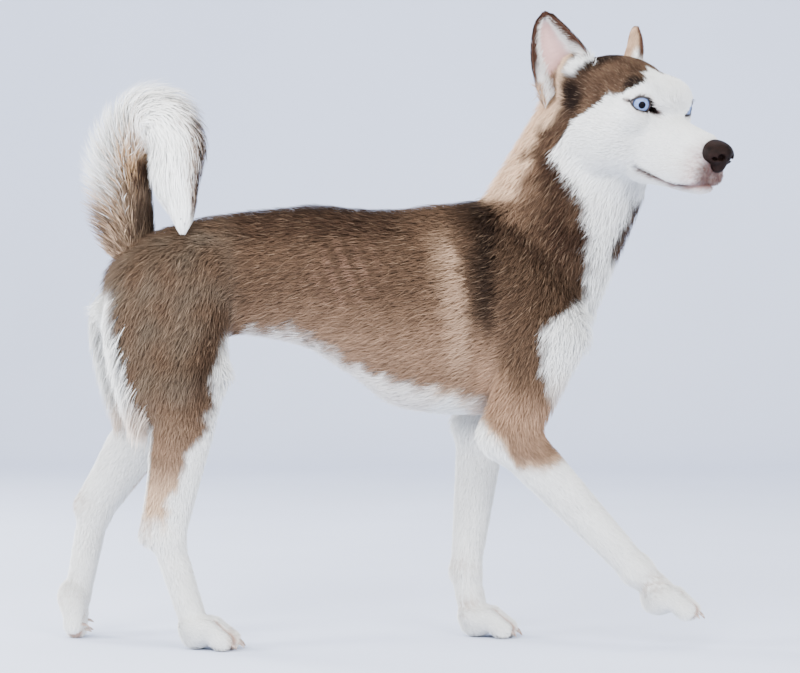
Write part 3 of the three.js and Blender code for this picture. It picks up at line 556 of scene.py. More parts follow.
def settle(field, points, faces, rounds=2):
    """Evens the points out along the surface and draws them back onto it."""
    edges = np.concatenate([faces[:, (k, (k + 1) % 4)] for k in range(4)])
    for _ in range(rounds):
        total = np.zeros_like(points)
        count = sum(np.bincount(edges[:, k], minlength=len(points)) for k in (0, 1))
        for k in range(3):
            total[:, k] = (np.bincount(edges[:, 0], points[edges[:, 1], k], len(points))
                           + np.bincount(edges[:, 1], points[edges[:, 0], k], len(points)))
        points = points + 0.5 * (total / np.maximum(count, 1)[:, None] - points)
        d, slope = gradient(field, points)
        move = slope * (d / np.maximum((slope ** 2).sum(1), 0.2))[:, None]
        size = np.linalg.norm(move, axis=1, keepdims=True)
        points = points - move * np.minimum(1, 2.0 / np.maximum(size, 1e-6))
    return points, unit(gradient(field, points)[1])


def styles(points):
    """Hair length, half width, spacing and lie at each point, shared between the forms that are near."""
    total = np.zeros(len(points))
    sizes = np.zeros((len(points), 3))
    lie = np.zeros((len(points), 3))
    for form in FORMS:
        near = form.near(points)
        if not len(near):
            continue
        w = np.exp(-np.maximum(form.distance(points[near]), -14) / 4)
        total[near] += w
        sizes[near] += w[:, None] * np.array(HAIR[form.part])
        lie[near] += w[:, None] * form.lie(points[near])
    return sizes / np.maximum(total, 1e-9)[:, None], unit(lie)


# Markings.

def srgb(r, g, b):
    return np.array([(c / 255 / 12.92) if c <= 10 else ((c / 255 + 0.055) / 1.055) ** 2.4 for c in (r, g, b)])


WHITE = srgb(240, 240, 237)
CREAM = srgb(220, 187, 155)
TAN = srgb(158, 126, 101)
GREY_TAN = srgb(100, 86, 72)
BROWN = srgb(91, 70, 54)
DARK = srgb(54, 38, 28)
BLACKISH = srgb(30, 20, 14)
EAR_RIM = srgb(70, 46, 35)
LIP = srgb(112, 74, 68)
PINK = srgb(208, 166, 158)
PALE_TAN = TAN + (CREAM - TAN) * 0.35
BELLY_WHITE = WHITE + (CREAM - WHITE) * 0.2


def blend_to(colour, other, share):
    """Rows of colour, each drawn towards the other by its share. Either may be a single colour."""
    return colour + (other - colour) * np.clip(share, 0, 1)[:, None]


def blob(*distances):
    """1 in the middle of a soft round spot, falling to 0 outside it."""
    return np.exp(-sum(v ** 2 for v in distances))


def head_markings(q, behind):
    """White face under a brown cap; `behind` is the neck's own colour, that takes over at the nape."""
    x, y, z = q.T
    side = np.abs(y)
    fray = 1.6 * ripple(q, 12, 0.4) + 1.0 * ripple(q, 5, 2.0)
    edge = np.interp(x, [-84, -72, -59, -46, -35, -25, -12, -4, 5, 12],
                     [-92, -58, -30, -21, -11, 4, 8, 14, 20, 30])
    edge = np.maximum(edge, np.interp(side, [8, 24, 30, 40], [-99, -40, -60, -99]))
    front = np.interp(side, [0, 8, 20, 26, 33, 41], [-22, -12, -8, 5, 9, 6])
    cap = ramp(z + fray, edge - 1.5, edge + 2.5) * ramp(x + fray, front + 2.5, front - 2.5)
    tone = blend_to(BROWN, DARK, 0.4 + 0.5 * ripple(q, 30, 1.0))
    spot = blob((x + 3) / 11, (side - 37) / 10, (z - 22) / 12)
    root = blob((x + 62) / 11, (z - 33) / 11) + blob((x + 68) / 12, (z + 6) / 17)
    tone = blend_to(tone, BLACKISH, 1.8 * spot + 1.5 * root)
    colour = blend_to(WHITE, tone, cap)
    line = -62 - 0.26 * (38 - z)
    before = (x + 78) * 0.72 + (side - 46) * 0.66 - 0.1 * z
    hollow = (ramp(x + fray, line + 2, line - 3) * ramp(z, 10, 20) * ramp(z, 48, 42)
              * ramp(side, 34, 38) * ramp(before, -3, 2))
    colour = blend_to(colour, WHITE, hollow)
    nape = ramp(x + fray, -76, -88) * (1 - hollow)
    colour = blend_to(colour, behind, nape * ramp(z, -70, -30))
    throat = ramp(z, -62, -84) * ramp(x, -20, -50)
    colour = blend_to(colour, behind, throat * nape)
    for s in (-1, 1):
        gap, e = lid_gap(q, s)
        close = np.where((e[:, 0] > -2) & (np.linalg.norm(e, axis=1) < 30), gap, 40)
        liner = ramp(close, 2.4, 0.9)
        corner = blob((e[:, 1] - 18) / 5.5, (e[:, 2] + 3.5) / 3.6) * (e[:, 0] > -4)
        tail_end = blob((e[:, 1] + 14.5) / 3, (e[:, 2] + 0.5) / 1.8) * (e[:, 0] > -6)
        colour = blend_to(colour, TAN, 0.3 * ramp(close, 6, 2))
        colour = blend_to(colour, srgb(70, 40, 33), np.maximum(0.95 * corner, 0.8 * tail_end))
        colour = blend_to(colour, srgb(26, 17, 15), liner)
    line = z - np.interp(x, MOUTH[:, 0], MOUTH[:, 1])
    lips = ramp(x, 6, 14)
    colour = blend_to(colour, LIP, lips * np.exp(-(((line + 1.8) / 2.6) ** 2)) * 0.85)
    thickness = 1.4 + 1.7 * ramp(x, 40, 26)
    colour = blend_to(colour, srgb(30, 18, 16), lips * np.exp(-((line / thickness) ** 2)))
    snout = ramp(x + 1.5 * fray, 60, 88) * ramp(z, -70, -60)
    speckle = np.clip(0.3 + 0.9 * ripple(q, 4, 0.7), 0, 1)
    colour = blend_to(colour, srgb(170, 126, 118), snout * ramp(z, -8, -34) * (0.35 + 0.45 * speckle))
    below_nose = ramp(x + fray, 84, 93) * ramp(z, -14, -34) * ramp(z, -66, -58)
    return blend_to(colour, srgb(84, 54, 48), below_nose * 0.9)


def neck_markings(p):
    """Tan nape, brown sides, white throat and front."""
    x, y, z = p.T
    fray = 4 * ripple(p, 22, 0.3) + 2 * ripple(p, 9, 1.1)
    back = np.interp(z, [380, 430, 454, 470, 500, 552, 590], [20, 70, 86, 97, 112, 136, 150])
    across = (x - back + 1.5 * fray) / np.maximum(front_edge(z) - back, 20)
    bright = np.interp(z, [450, 472, 505, 536], [0.2, 0.33, 0.48, 0.56])
    colour = blend_to(BROWN, TAN, 0.5 * ramp(across, bright + 0.3, bright))
    colour = blend_to(colour, CREAM, ramp(across, bright + 0.12, bright - 0.12) * ramp(z, 440, 476))
    colour = blend_to(colour, DARK, ramp(across, 0.42, 0.8) * (0.9 + 0.35 * ripple(p, 40, 0.8)))
    return colour


def front_edge(z):
    """Where the brown of the sides ends and the white of the chest and throat begins."""
    return np.interp(z, [186, 204, 234, 272, 306, 338, 348, 362, 374, 408, 460, 490, 511, 536, 560, 590],
                     [178, 168, 156, 150, 146, 152, 172, 186, 188, 194, 190, 173, 159, 173, 196, 230])


def markings(p, normal):
    """The coat's colour at rows of plan points whose surface faces `normal`."""
    p = np.asarray(p, float)
    x, y, z = p.T
    inner = ramp(normal[:, 1] * np.sign(y), -0.1, -0.5)
    rearward = np.where(y > 0, ramp(-normal[:, 0], -0.15, 0.2) * ramp(normal[:, 1], 0.6, 0.3),
                        ramp(-normal[:, 0], 0.78, 0.95))
    fray = 4.5 * ripple(p, 24, 0.2) + 2.5 * ripple(p, 9, 1.9)
    fine = ripple(p, 6, 3.0)
    side = np.abs(y)
    # Trunk: dark along the back, brown sides, tan low down, white belly.
    top = np.interp(x, TRUNK[:, 0], TRUNK[:, 1])
    below = top - z
    colour = blend_to(BLACKISH, DARK, ramp(below + fray, 2, 20))
    colour = blend_to(colour, BROWN * 0.92, ramp(below + 2 * fray, 8, 60))
    withers = np.exp(-(((x - 36) / 30) ** 2)) * ramp(below, 1, 10)
    colour = blend_to(colour, BROWN * 1.15, 0.75 * withers)
    colour = blend_to(colour, TAN * 0.88, ramp(below + 2 * fray, 76, 150) * 0.75)
    rear = ramp(x + fray, -150, -196)
    hips = blend_to(GREY_TAN * 0.85, BROWN, 0.35 + 0.5 * ripple(p, 38, 2.4))
    hips = blend_to(hips, BROWN * 0.7, ramp(below, 30, 4) * 0.8)
    colour = blend_to(colour, hips, rear * ramp(below, 0, 14))
    # Painted light and shade: faint paler strokes over the ribs, darker between them; a pale stripe runs down
    # behind the shoulder.
    rib_light_and_shade = np.sin((x + 0.42 * (z - 380)) * 2 * math.pi / 17) * blob((x + 52) / 34, (z - 384) / 30)
    colour = blend_to(colour, srgb(150, 116, 98), 0.5 * np.clip(rib_light_and_shade, 0, 1))
    colour = blend_to(colour, DARK, 0.2 * np.clip(-rib_light_and_shade, 0, 1))
    bent = x - 62 + 0.14 * (z - 350) + 1.4 * fray
    stripe = ramp(bent, 11, 4) * ramp(bent, -30, 0) * ramp(z, 262, 310) * ramp(z, 440, 396)
    colour = blend_to(colour, PALE_TAN, 0.78 * stripe)
    patch = np.exp(-(((x - 90 + 0.5 * fray) / 17) ** 2)) * ramp(z, 286, 350) * ramp(z, 456, 440)
    colour = blend_to(colour, BLACKISH, 0.9 * patch)
    # Shoulder and upper arm.
    arm = ramp(x + fray, 96, 116)
    colour = blend_to(colour, BROWN * 0.66, arm * 0.85 * ramp(z, 460, 420))
    up_neck = (x - 126) * 0.68 + (z - 418) * 0.73
    # Painted shade: a dark line down the crease between the shoulder and the neck.
    crease_shade = ramp(x, 80, 96) * ramp(x, 172, 150) * blob(up_neck / 7)
    colour = blend_to(colour, DARK * 0.8, crease_shade * 0.8)
    # Neck.
    onto_neck = ramp(up_neck + fray, 0, 16)
    colour = blend_to(colour, neck_markings(p), onto_neck)
    # White: chest and throat, belly, inner sides, lower legs.
    edge = front_edge(z)
    chest = ramp(x + 1.2 * fray, edge - 5, edge + 7) * ramp(z, 180, 200)
    far_neck = ramp(y + 0.6 * fray, -26, -19) * ramp(z, 398, 412) * ramp(z, 494, 476)
    colour = blend_to(colour, WHITE, chest * (1 - far_neck))
    line = np.interp(x, [-172, -150, -105, -84, -50, -20, 20, 60, 100, 130],
                     [318, 330, 328, 316, 296, 282, 270, 262, 256, 252])
    white_belly = ramp(z + 1.5 * fray, line + 9, line - 5) * ramp(x, -186, -170) * ramp(x, 86, 70)
    between = ramp(side, 34, 24) * ramp(z, 276, 258) * ramp(x, 60, 80)
    colour = blend_to(colour, BELLY_WHITE, np.maximum(white_belly, between))
    front_low = np.interp(x, [60, 85, 92, 108, 118, 139, 170], [262, 244, 224, 207, 187, 184, 191])
    low_fore = ramp(z + 0.6 * fray, front_low + 7, front_low - 7) * ramp(x, 30, 45)
    pale_arm = (ramp(z + fray, front_low + 105, front_low + 45)
                * (0.6 + 0.4 * ramp(z, front_low + 10, front_low + 45)))
    colour = blend_to(colour, TAN * 1.1, 0.85 * pale_arm * ramp(x, 75, 90))
    colour = blend_to(colour, CREAM, 0.5 * ramp(z + fray, front_low + 16, front_low) * ramp(x, 30, 45))
    colour = blend_to(colour, WHITE, low_fore)
    # Hind leg: the brown narrows down the outer side to the hock; the front edge of the thigh is dark.
    hind = ramp(x, -170, -178)
    start = np.interp(z, [120, 132, 173, 204, 224, 311, 350], [-236, -242, -228, -214, -203, -186, -176])
    start = np.where(y > 0, start - np.interp(z, [120, 250, 311], [70, 16, 6]), start)
    dark_edge = np.exp(-(((x - start + 10) / 11) ** 2)) * ramp(z, 190, 240) * ramp(z, 372, 330)
    colour = blend_to(colour, DARK, 0.7 * dark_edge * hind)
    leg_white = ramp(x + fray, start - 4, start + 6) * ramp(z, 336, 318) * hind
    leg_white = np.maximum(leg_white, ramp(z + fray, 142, 118) * hind)
    colour = blend_to(colour, TAN * 0.8, 0.68 * ramp(z, 290, 190) * hind)
    colour = blend_to(colour, CREAM, 0.75 * ramp(z + fray, 196, 150) * hind)
    colour = blend_to(colour, WHITE, leg_white)
    rear_edge = np.interp(z, [204, 223, 254, 275, 306, 337, 360], [-262, -268, -275, -282, -288, -291, -290])
    rear_edge = np.where(y > 0, rear_edge - 30, rear_edge)
    breech = ramp(x + 0.6 * fray, rear_edge + 4, rear_edge - 8) * ramp(z, 376, 352) * hind
    breech = np.maximum(breech, rearward * ramp(x, -236, -252) * ramp(z, 376, 352) * ramp(z, 120, 150))
    colour = blend_to(colour, WHITE, breech)
    seat = ramp(side, 26, 16) * ramp(x, -262, -276) * ramp(z, 380, 362)
    colour = blend_to(colour, WHITE, seat)
    inside = np.maximum(hind * ramp(z, 372, 350), ramp(x, 40, 60) * ramp(z, 262, 244))
    colour = blend_to(colour, WHITE, inner * inside)
    # The tail's core: dark stem, pale top and pale hanging part.
    tail = ramp(z, 452, 462) * ramp(x, -200, -212)
    core = blend_to(DARK, TAN, ramp(z, 462, 490))
    core = blend_to(core, WHITE, np.maximum(ramp(z, 494, 520), ramp(x, -262, -250)))
    colour = blend_to(colour, core, tail)
    # Slight stains at the hocks, wrists and toes, and a few specks on the white legs.
    for spot, size in (((-259, -54, 122), 13), ((-344, 42, 146), 15), ((-352, 36, 40), 16),
                       ((66, 40, 74), 12), ((72, 30, 34), 12), ((-238, -60, 30), 12), ((258, -50, 66), 13)):
        stain = np.exp(-(((p - spot) / size) ** 2).sum(1)) * np.clip(0.5 + fine, 0, 1)
        colour = blend_to(colour, TAN, 0.75 * stain)
    # Painted shade: darker tan lines down the creases between the toes.
    for leg in (*FORE.values(), *HIND.values()):
        v = (p - leg["knuckles"]) @ turn("Y", leg["dip"])
        seam = np.abs(np.abs(np.abs(v[:, 1]) - 6.2) - 6.2)
        toe = ramp(v[:, 0], 12, 24) * ramp(np.linalg.norm(v, axis=1), 52, 46)
        colour = blend_to(colour, srgb(166, 116, 88), 0.75 * toe * np.exp(-(seam / 1.4) ** 2))
    # Pads and the skin between the toes.
    sole = ramp(z, 4.5, 1.0)
    colour = blend_to(colour, srgb(70, 58, 54), sole * 0.8)
    q = to_head(p)
    skull = np.linalg.norm((q - (-30, 0, -14)) / (1.25, 0.95, 1), axis=1)
    on_head = ramp(skull, 92, 84) * ramp(q[:, 0], -104, -96)
    on_head = np.maximum(on_head, ramp(q[:, 0], 0, 12) * ramp(np.linalg.norm(q, axis=1), 150, 140))
    near = np.flatnonzero(on_head > 0)
    if len(near):
        colour[near] = blend_to(colour[near], head_markings(q[near], colour[near]), on_head[near])
    return colour


# Meshes.

def smooth(mesh):
    mesh.polygons.foreach_set("use_smooth", np.full(len(mesh.polygons), True))


def piece(name, points, faces, material, colours=None, uv=None):
    """A mesh object in the frame, riding on the body. Points are plan millimetres."""
    mesh = bpy.data.meshes.new(name)
    points = row(points).astype(np.float32)
    faces = np.asarray(faces, np.int32)
    size = faces.shape[1]
    mesh.vertices.add(len(points))
    mesh.vertices.foreach_set("co", points.ravel())
    mesh.loops.add(faces.size)
    mesh.loops.foreach_set("vertex_index", faces.ravel())
    mesh.polygons.add(len(faces))
    mesh.polygons.foreach_set("loop_start", np.arange(0, faces.size, size, dtype=np.int32))
    mesh.update(calc_edges=True)
    mesh.validate()
    if colours is not None:
        layer = mesh.color_attributes.new("Coat", "FLOAT_COLOR", "POINT")
        rgba = np.ones((len(points), 4), np.float32)
        rgba[:, :3] = np.clip(colours, 0, 1)
        layer.data.foreach_set("color", rgba.ravel())
    if uv is not None:
        layer = mesh.uv_layers.new(name="OFBake")
        layer.data.foreach_set("uv", np.asarray(uv, np.float32)[faces.ravel()].ravel())
    smooth(mesh)
    mesh.materials.append(material)
    thing = bpy.data.objects.new(name, mesh)
    bpy.context.scene.collection.objects.link(thing)
    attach(thing, "root")
    return thing


def ring_tube(path, radii, around):
    """A tube along a closed ring of points."""
    count = len(path)
    along = unit(np.roll(path, -1, 0) - np.roll(path, 1, 0))
    side = unit(np.cross(along, (0.1, 0.2, 1.0)))
    up = np.cross(side, along)
    angle = np.linspace(0, 2 * math.pi, around, endpoint=False)
    turned = (side[:, None] * np.cos(angle)[None, :, None] + up[:, None] * np.sin(angle)[None, :, None])
    rings = path[:, None] + radii[:, None, None] * turned
    faces = []
    for i in range(count):
        n = (i + 1) % count
        for j in range(around):
            k = (j + 1) % around
            faces.append((i * around + j, i * around + k, n * around + k, n * around + j))
    return rings.reshape(-1, 3), np.array(faces)


# Materials.

def hair_streaks():
    """Shared effect: fine streaks of light and shade, and their height."""
    name = "hair_streaks"
    if name in bpy.data.node_groups:
        return bpy.data.node_groups[name]
    tree = bpy.data.node_groups.new(name, "ShaderNodeTree")
    tree.interface.new_socket("Colour", in_out="INPUT", socket_type="NodeSocketColor")
    for label, value in (("Fineness", 420.0), ("Strength", 0.3)):
        tree.interface.new_socket(label, in_out="INPUT", socket_type="NodeSocketFloat").default_value = value
    tree.interface.new_socket("Colour", in_out="OUTPUT", socket_type="NodeSocketColor")
    tree.interface.new_socket("Height", in_out="OUTPUT", socket_type="NodeSocketFloat")
    nodes, links = tree.nodes, tree.links
    source, sink = nodes.new("NodeGroupInput"), nodes.new("NodeGroupOutput")
    place = nodes.new("ShaderNodeTexCoord")
    stretch = nodes.new("ShaderNodeMapping")
    stretch.inputs["Scale"].default_value = (0.45, 1.0, 0.7)
    links.new(place.outputs["Object"], stretch.inputs["Vector"])
    fine = nodes.new("ShaderNodeTexNoise")
    fine.inputs["Detail"].default_value = 3
    links.new(stretch.outputs["Vector"], fine.inputs["Vector"])
    links.new(source.outputs["Fineness"], fine.inputs["Scale"])
    broad = nodes.new("ShaderNodeTexNoise")
    broad.inputs["Scale"].default_value = 38
    broad.inputs["Detail"].default_value = 2
    links.new(place.outputs["Object"], broad.inputs["Vector"])
    sum_up = nodes.new("ShaderNodeMath")
    sum_up.operation = "ADD"
    links.new(fine.outputs["Fac"], sum_up.inputs[0])
    links.new(broad.outputs["Fac"], sum_up.inputs[1])
    centre = nodes.new("ShaderNodeMath")
    centre.operation = "SUBTRACT"
    centre.inputs[1].default_value = 1.0
    links.new(sum_up.outputs[0], centre.inputs[0])
    scale = nodes.new("ShaderNodeMath")
    scale.operation = "MULTIPLY_ADD"
    scale.inputs[2].default_value = 1.0
    links.new(centre.outputs[0], scale.inputs[0])
    links.new(source.outputs["Strength"], scale.inputs[1])
    tint = nodes.new("ShaderNodeVectorMath")
    tint.operation = "SCALE"
    links.new(source.outputs["Colour"], tint.inputs[0])
    links.new(scale.outputs[0], tint.inputs["Scale"])
    links.new(tint.outputs[0], sink.inputs["Colour"])
    links.new(fine.outputs["Fac"], sink.inputs["Height"])
    return tree


def start_material(name, roughness, specular=0.5):
    material = bpy.data.materials.new(name)
    material.use_nodes = True
    nodes, links = material.node_tree.nodes, material.node_tree.links
    shader = nodes["Principled BSDF"]
    shader.inputs["Roughness"].default_value = roughness
    shader.inputs["Specular IOR Level"].default_value = specular
    return material, nodes, links, shader


def add_relief(nodes, links, shader, height, strength, distance):
    relief = nodes.new("ShaderNodeBump")
    relief.inputs["Strength"].default_value = strength
    relief.inputs["Distance"].default_value = distance
    links.new(height, relief.inputs["Height"])
    links.new(relief.outputs["Normal"], shader.inputs["Normal"])


def add_clouds(nodes, links, shader, place, scale, detail, dark, pale):
    """Noise that shades the base colour from dark to pale; both are a position and a colour."""
    cloud = nodes.new("ShaderNodeTexNoise")
    cloud.inputs["Scale"].default_value = scale
    cloud.inputs["Detail"].default_value = detail
    links.new(place.outputs["Object"], cloud.inputs["Vector"])
    shades = nodes.new("ShaderNodeValToRGB")
    for element, (position, colour) in zip(shades.color_ramp.elements, (dark, pale)):
        element.position = position
        element.color = (*colour, 1)
    links.new(cloud.outputs["Fac"], shades.inputs["Fac"])
    links.new(shades.outputs["Color"], shader.inputs["Base Color"])
    return cloud


def coloured_material(name, roughness, specular, fineness, strength, bump, coat=0.0):
    """Takes its colour from the piece's Coat attribute, with streaks and bump over it."""
    if name in bpy.data.materials:
        return bpy.data.materials[name]
    material, nodes, links, shader = start_material(name, roughness, specular)
    shader.inputs["Coat Weight"].default_value = coat
    shader.inputs["Coat Roughness"].default_value = 0.08
    paint = nodes.new("ShaderNodeAttribute")
    paint.attribute_name = "Coat"
    streaks = nodes.new("ShaderNodeGroup")
    streaks.node_tree = hair_streaks()
    streaks.inputs["Fineness"].default_value = fineness
    streaks.inputs["Strength"].default_value = strength
    links.new(paint.outputs["Color"], streaks.inputs["Colour"])
    links.new(streaks.outputs["Colour"], shader.inputs["Base Color"])
    if bump:
        add_relief(nodes, links, shader, streaks.outputs["Height"], bump, 0.0006)
    return material


def fur_material():
    return coloured_material("fur", 0.8, 0.1, 700, 0.2, 0)


def leather_material():
    """Nose leather: a pebbled, slightly wet surface."""
    material, nodes, links, shader = start_material("nose_leather", 0.5, 0.05)
    place = nodes.new("ShaderNodeTexCoord")
    pebbles = nodes.new("ShaderNodeTexVoronoi")
    pebbles.inputs["Scale"].default_value = 900
    links.new(place.outputs["Object"], pebbles.inputs["Vector"])
    cloud = add_clouds(nodes, links, shader, place, 120, 2, (0.3, srgb(17, 10, 8)), (0.75, srgb(34, 22, 19)))
    gloss = nodes.new("ShaderNodeMapRange")
    gloss.inputs["To Min"].default_value = 0.42
    gloss.inputs["To Max"].default_value = 0.6
    links.new(cloud.outputs["Fac"], gloss.inputs["Value"])
    links.new(gloss.outputs["Result"], shader.inputs["Roughness"])
    add_relief(nodes, links, shader, pebbles.outputs["Distance"], 0.5, 0.0004)
    return material


def horn_material(name, dark, pale, roughness):
    """Claws and whiskers: horn with fine grain along it."""
    material, nodes, links, shader = start_material(name, roughness)
    place = nodes.new("ShaderNodeTexCoord")
    grain = add_clouds(nodes, links, shader, place, 260, 4, (0.35, dark), (0.7, pale))
    add_relief(nodes, links, shader, grain.outputs["Fac"], 0.25, 0.0003)
    return material


def paper_material(colour):
    """The studio's paper: pale, matt, with the faintest cloudiness."""
    material, nodes, links, shader = start_material("studio_paper", 0.9, 0.1)
    place = nodes.new("ShaderNodeTexCoord")
    add_clouds(nodes, links, shader, place, 2.5, 2, (0.3, np.array(colour) * 0.97), (0.7, colour))
    return material


# Coat: tufts that stand on the skin, rise to the coat's depth and lie along it.

def blade_faces(count, rows):
    """Triangles of ridged blades, each with `rows` rings of three points and a tip."""
    pattern = []
    for start in range(0, 3 * rows - 3, 3):
        for a in (start, start + 1):
            pattern += [(a, a + 1, a + 4), (a, a + 4, a + 3)]
    last, tip = 3 * rows - 3, 3 * rows
    pattern += [(last, last + 1, tip), (last + 1, last + 2, tip)]
    return np.arange(count)[:, None, None] * (tip + 1) + np.array(pattern)


def tufts(root, normal, lie, length, rise, half, colour, spread, rng, sections=1):
    """Rows of ridged blades. Returns points, triangles, colours and places on the bake map.

    `spread` is each root's place on the skin's unwrap. `sections` counts the rings between root and tip.
    """
    n = len(root)
    side = unit(np.cross(normal, lie))
    rings = sections + 1
    per = rings * 3 + 1
    points = np.zeros((n, per, 3))
    shade = np.zeros((n, per, 3))
    spots = np.zeros((n, per, 2))
    dark = np.interp(colour.mean(1), [0.05, 0.6], [0.26, 0.10])[:, None]
    splay = rng.normal(0, 0.12, n)[:, None]
    stand = (0.85 + 0.3 * rng.random(n))[:, None]
    length, rise, half = length[:, None], rise[:, None], half[:, None]
    for r in range(rings + 1):
        s = r / rings
        along = length * s * (1 - 0.06 * s)
        height = rise * stand * (1 - (1 - s) ** 2.2) - 0.6 * (s == 0)
        middle = root + lie * along + normal * height + side * (splay * length * s * s)
        tone = 1 + 0.05 * s - dark * (1 - s)
        if r == rings:
            points[:, -1] = middle
            shade[:, -1] = colour * tone
            spots[:, -1] = spread + (0, PATCH)
            continue
        wide = half * (1.0 - 0.35 * s)
        for c, (across, lift) in enumerate(((1, 0), (0, 0.55), (-1, 0))):
            points[:, r * 3 + c] = middle + side * (wide * across) + normal * (wide * lift)
            shade[:, r * 3 + c] = colour * tone
            spots[:, r * 3 + c] = spread + (PATCH * across, -PATCH + 2 * PATCH * s)
    faces = blade_faces(n, rings)[..., ::-1].reshape(-1, 3)
    return points.reshape(-1, 3), faces, shade.reshape(-1, 3), spots.reshape(-1, 2)


def mixed_tufts(*values):
    """Two in five tufts are bent, the rest straight."""
    *each, rng = values
    bent = np.arange(len(each[0])) % 5 < 2
    made = [tufts(*(v[chosen] for v in each), rng, sections)
            for chosen, sections in ((bent, 1), (~bent, 0))]
    points, faces, shade, spots = zip(*made)
    faces = np.vstack([faces[0], faces[1] + len(points[0])])
    return np.vstack(points), faces, np.vstack(shade), np.vstack(spots)


def skin_arrays():
    """Points, quads, normals and unwrap of the finished skin, as plan millimetres."""
    skin = bpy.data.objects.get("skin")
    if skin is None:
        raise RuntimeError("build the skin first")
    mesh = skin.data
    points = np.zeros(len(mesh.vertices) * 3, np.float32)
    mesh.vertices.foreach_get("co", points)
    normals = np.zeros(len(mesh.vertices) * 3, np.float32)
    mesh.vertices.foreach_get("normal", normals)
    faces = np.zeros(len(mesh.loops), np.int32)
    mesh.loops.foreach_get("vertex_index", faces)
    uv = np.zeros(len(mesh.loops) * 2, np.float32)
    mesh.uv_layers["OFBake"].data.foreach_get("uv", uv)
    points = points.reshape(-1, 3).astype(float) * 1000 - PLAN_SHIFT
    return points, faces.reshape(-1, 4), normals.reshape(-1, 3).astype(float), uv.reshape(-1, 4, 2)


def scatter(points, faces, spacing, keep, rng, share=1.0):
    """Roots spread over the skin, denser where the spacing is small: face, corner weights and corners."""
    corners = np.concatenate([faces[:, (0, 1, 2)], faces[:, (0, 2, 3)]])
    loops = np.concatenate([np.tile((0, 1, 2), (len(faces), 1)), np.tile((0, 2, 3), (len(faces), 1))])
    owner = np.concatenate([np.arange(len(faces))] * 2)
    order = np.argsort(owner, kind="stable")
    corners, loops, owner = corners[order], loops[order], owner[order]
    a, b, c = (points[corners[:, k]] for k in range(3))
    area = np.linalg.norm(np.cross(b - a, c - a), axis=1) / 2
    wanted = area / spacing[corners].mean(1) ** 2 * keep[corners].min(1) * share
    total = np.cumsum(wanted)
    count = int(total[-1])
    marks = (np.arange(count) + rng.random(count)) / count * total[-1]
    face = np.minimum(np.searchsorted(total, marks), len(corners) - 1)
    u, v = rng.random(count), rng.random(count)
    flip = u + v > 1
    u[flip], v[flip] = 1 - u[flip], 1 - v[flip]
    weights = np.stack([1 - u - v, u, v], axis=1)
    return corners[face], weights, owner[face], loops[face]


def parts_of(p):
    """A coat piece's name for each root, from its place on the dog."""
    x, y, z = p.T
    q = to_head(p)
    skull = np.linalg.norm((q - (-20, 0, -18)) / (1.4, 1, 1), axis=1)
    near = np.where(y < 0, "right", "left")
    name = np.where(x > 24, "chest", "flank").astype("U16")
    name = np.where((x < -150) & (z > 205), "hip", name)
    name = np.where((x > 24) & (z < 236), "foreleg", name)
    name = np.where((x < -150) & (z <= 205), "hindleg", name)
    name = np.where((x > 100) & ((x - 126) * 0.5 + (z - 418) > 0), "neck", name)
    name = np.where((skull < 92) | (q[:, 0] > 10) & (z > 440), "head", name)
    near = np.where(name == "head", np.where(q[:, 1] < 0, "right", "left"), near)
    return np.char.add(np.char.add(name, "_"), near)


def tail_point(t, angle, share):
    """A point of the brush: t along it, an angle round it from the outer side, a share of its reach."""
    t = np.clip(t, 0, 1)
    data = curve(TAIL, t)
    along = unit(curve(TAIL[:, :3], t + 0.01) - curve(TAIL[:, :3], t - 0.01))
    side = unit(np.array([0, 1, 0]) - along[..., 1:2] * along)
    outward = np.cross(along, side)
    depth = np.cos(angle) * np.where(np.cos(angle) > 0, data[..., 3], data[..., 4])
    place = data[..., :3] + outward * (depth * share)[..., None]
    return place + side * (data[..., 5] * np.sin(angle) * share)[..., None]


def long_locks(lines, across, half, colours, spread):
    """Ridged locks along rows of points (n, rings, 3), tapering to the last one."""
    n, rings = lines.shape[:2]
    along = unit(np.gradient(lines, axis=1))
    side = unit(np.cross(along, across[:, None]))
    up = np.cross(side, along)
    per = (rings - 1) * 3 + 1
    points = np.zeros((n, per, 3))
    shade = np.zeros((n, per, 3))
    spots = np.zeros((n, per, 2))
    for r in range(rings - 1):
        wide = (half * LOCK_TAPER[r])[:, None]
        for c, (a, lift) in enumerate(((1, 0), (0, 0.5), (-1, 0))):
            points[:, r * 3 + c] = lines[:, r] + side[:, r] * (wide * a) + up[:, r] * (wide * lift)
            shade[:, r * 3 + c] = colours[:, r]
            spots[:, r * 3 + c] = spread + (PATCH * a, -PATCH + 2 * PATCH * r / rings)
    points[:, -1] = lines[:, -1]
    shade[:, -1] = colours[:, -1]
    spots[:, -1] = spread + (0, PATCH)
    faces = blade_faces(n, rings - 1).reshape(-1, 3)
    return points.reshape(-1, 3), faces, shade.reshape(-1, 3), spots.reshape(-1, 2)


def nearest_unwrap(places):
    """The unwrap places of the skin points nearest to the given ones."""
    points, faces, _, uv = skin_arrays()
    step = max(1, len(faces) // UNWRAP_SAMPLES)
    middle = points[faces[::step]].mean(1)
    where = uv[::step].mean(1)
    tree = KDTree(len(middle))
    for i, p in enumerate(middle):
        tree.insert(p, i)
    tree.balance()
    return np.array([where[tree.find(p)[1]] for p in places])


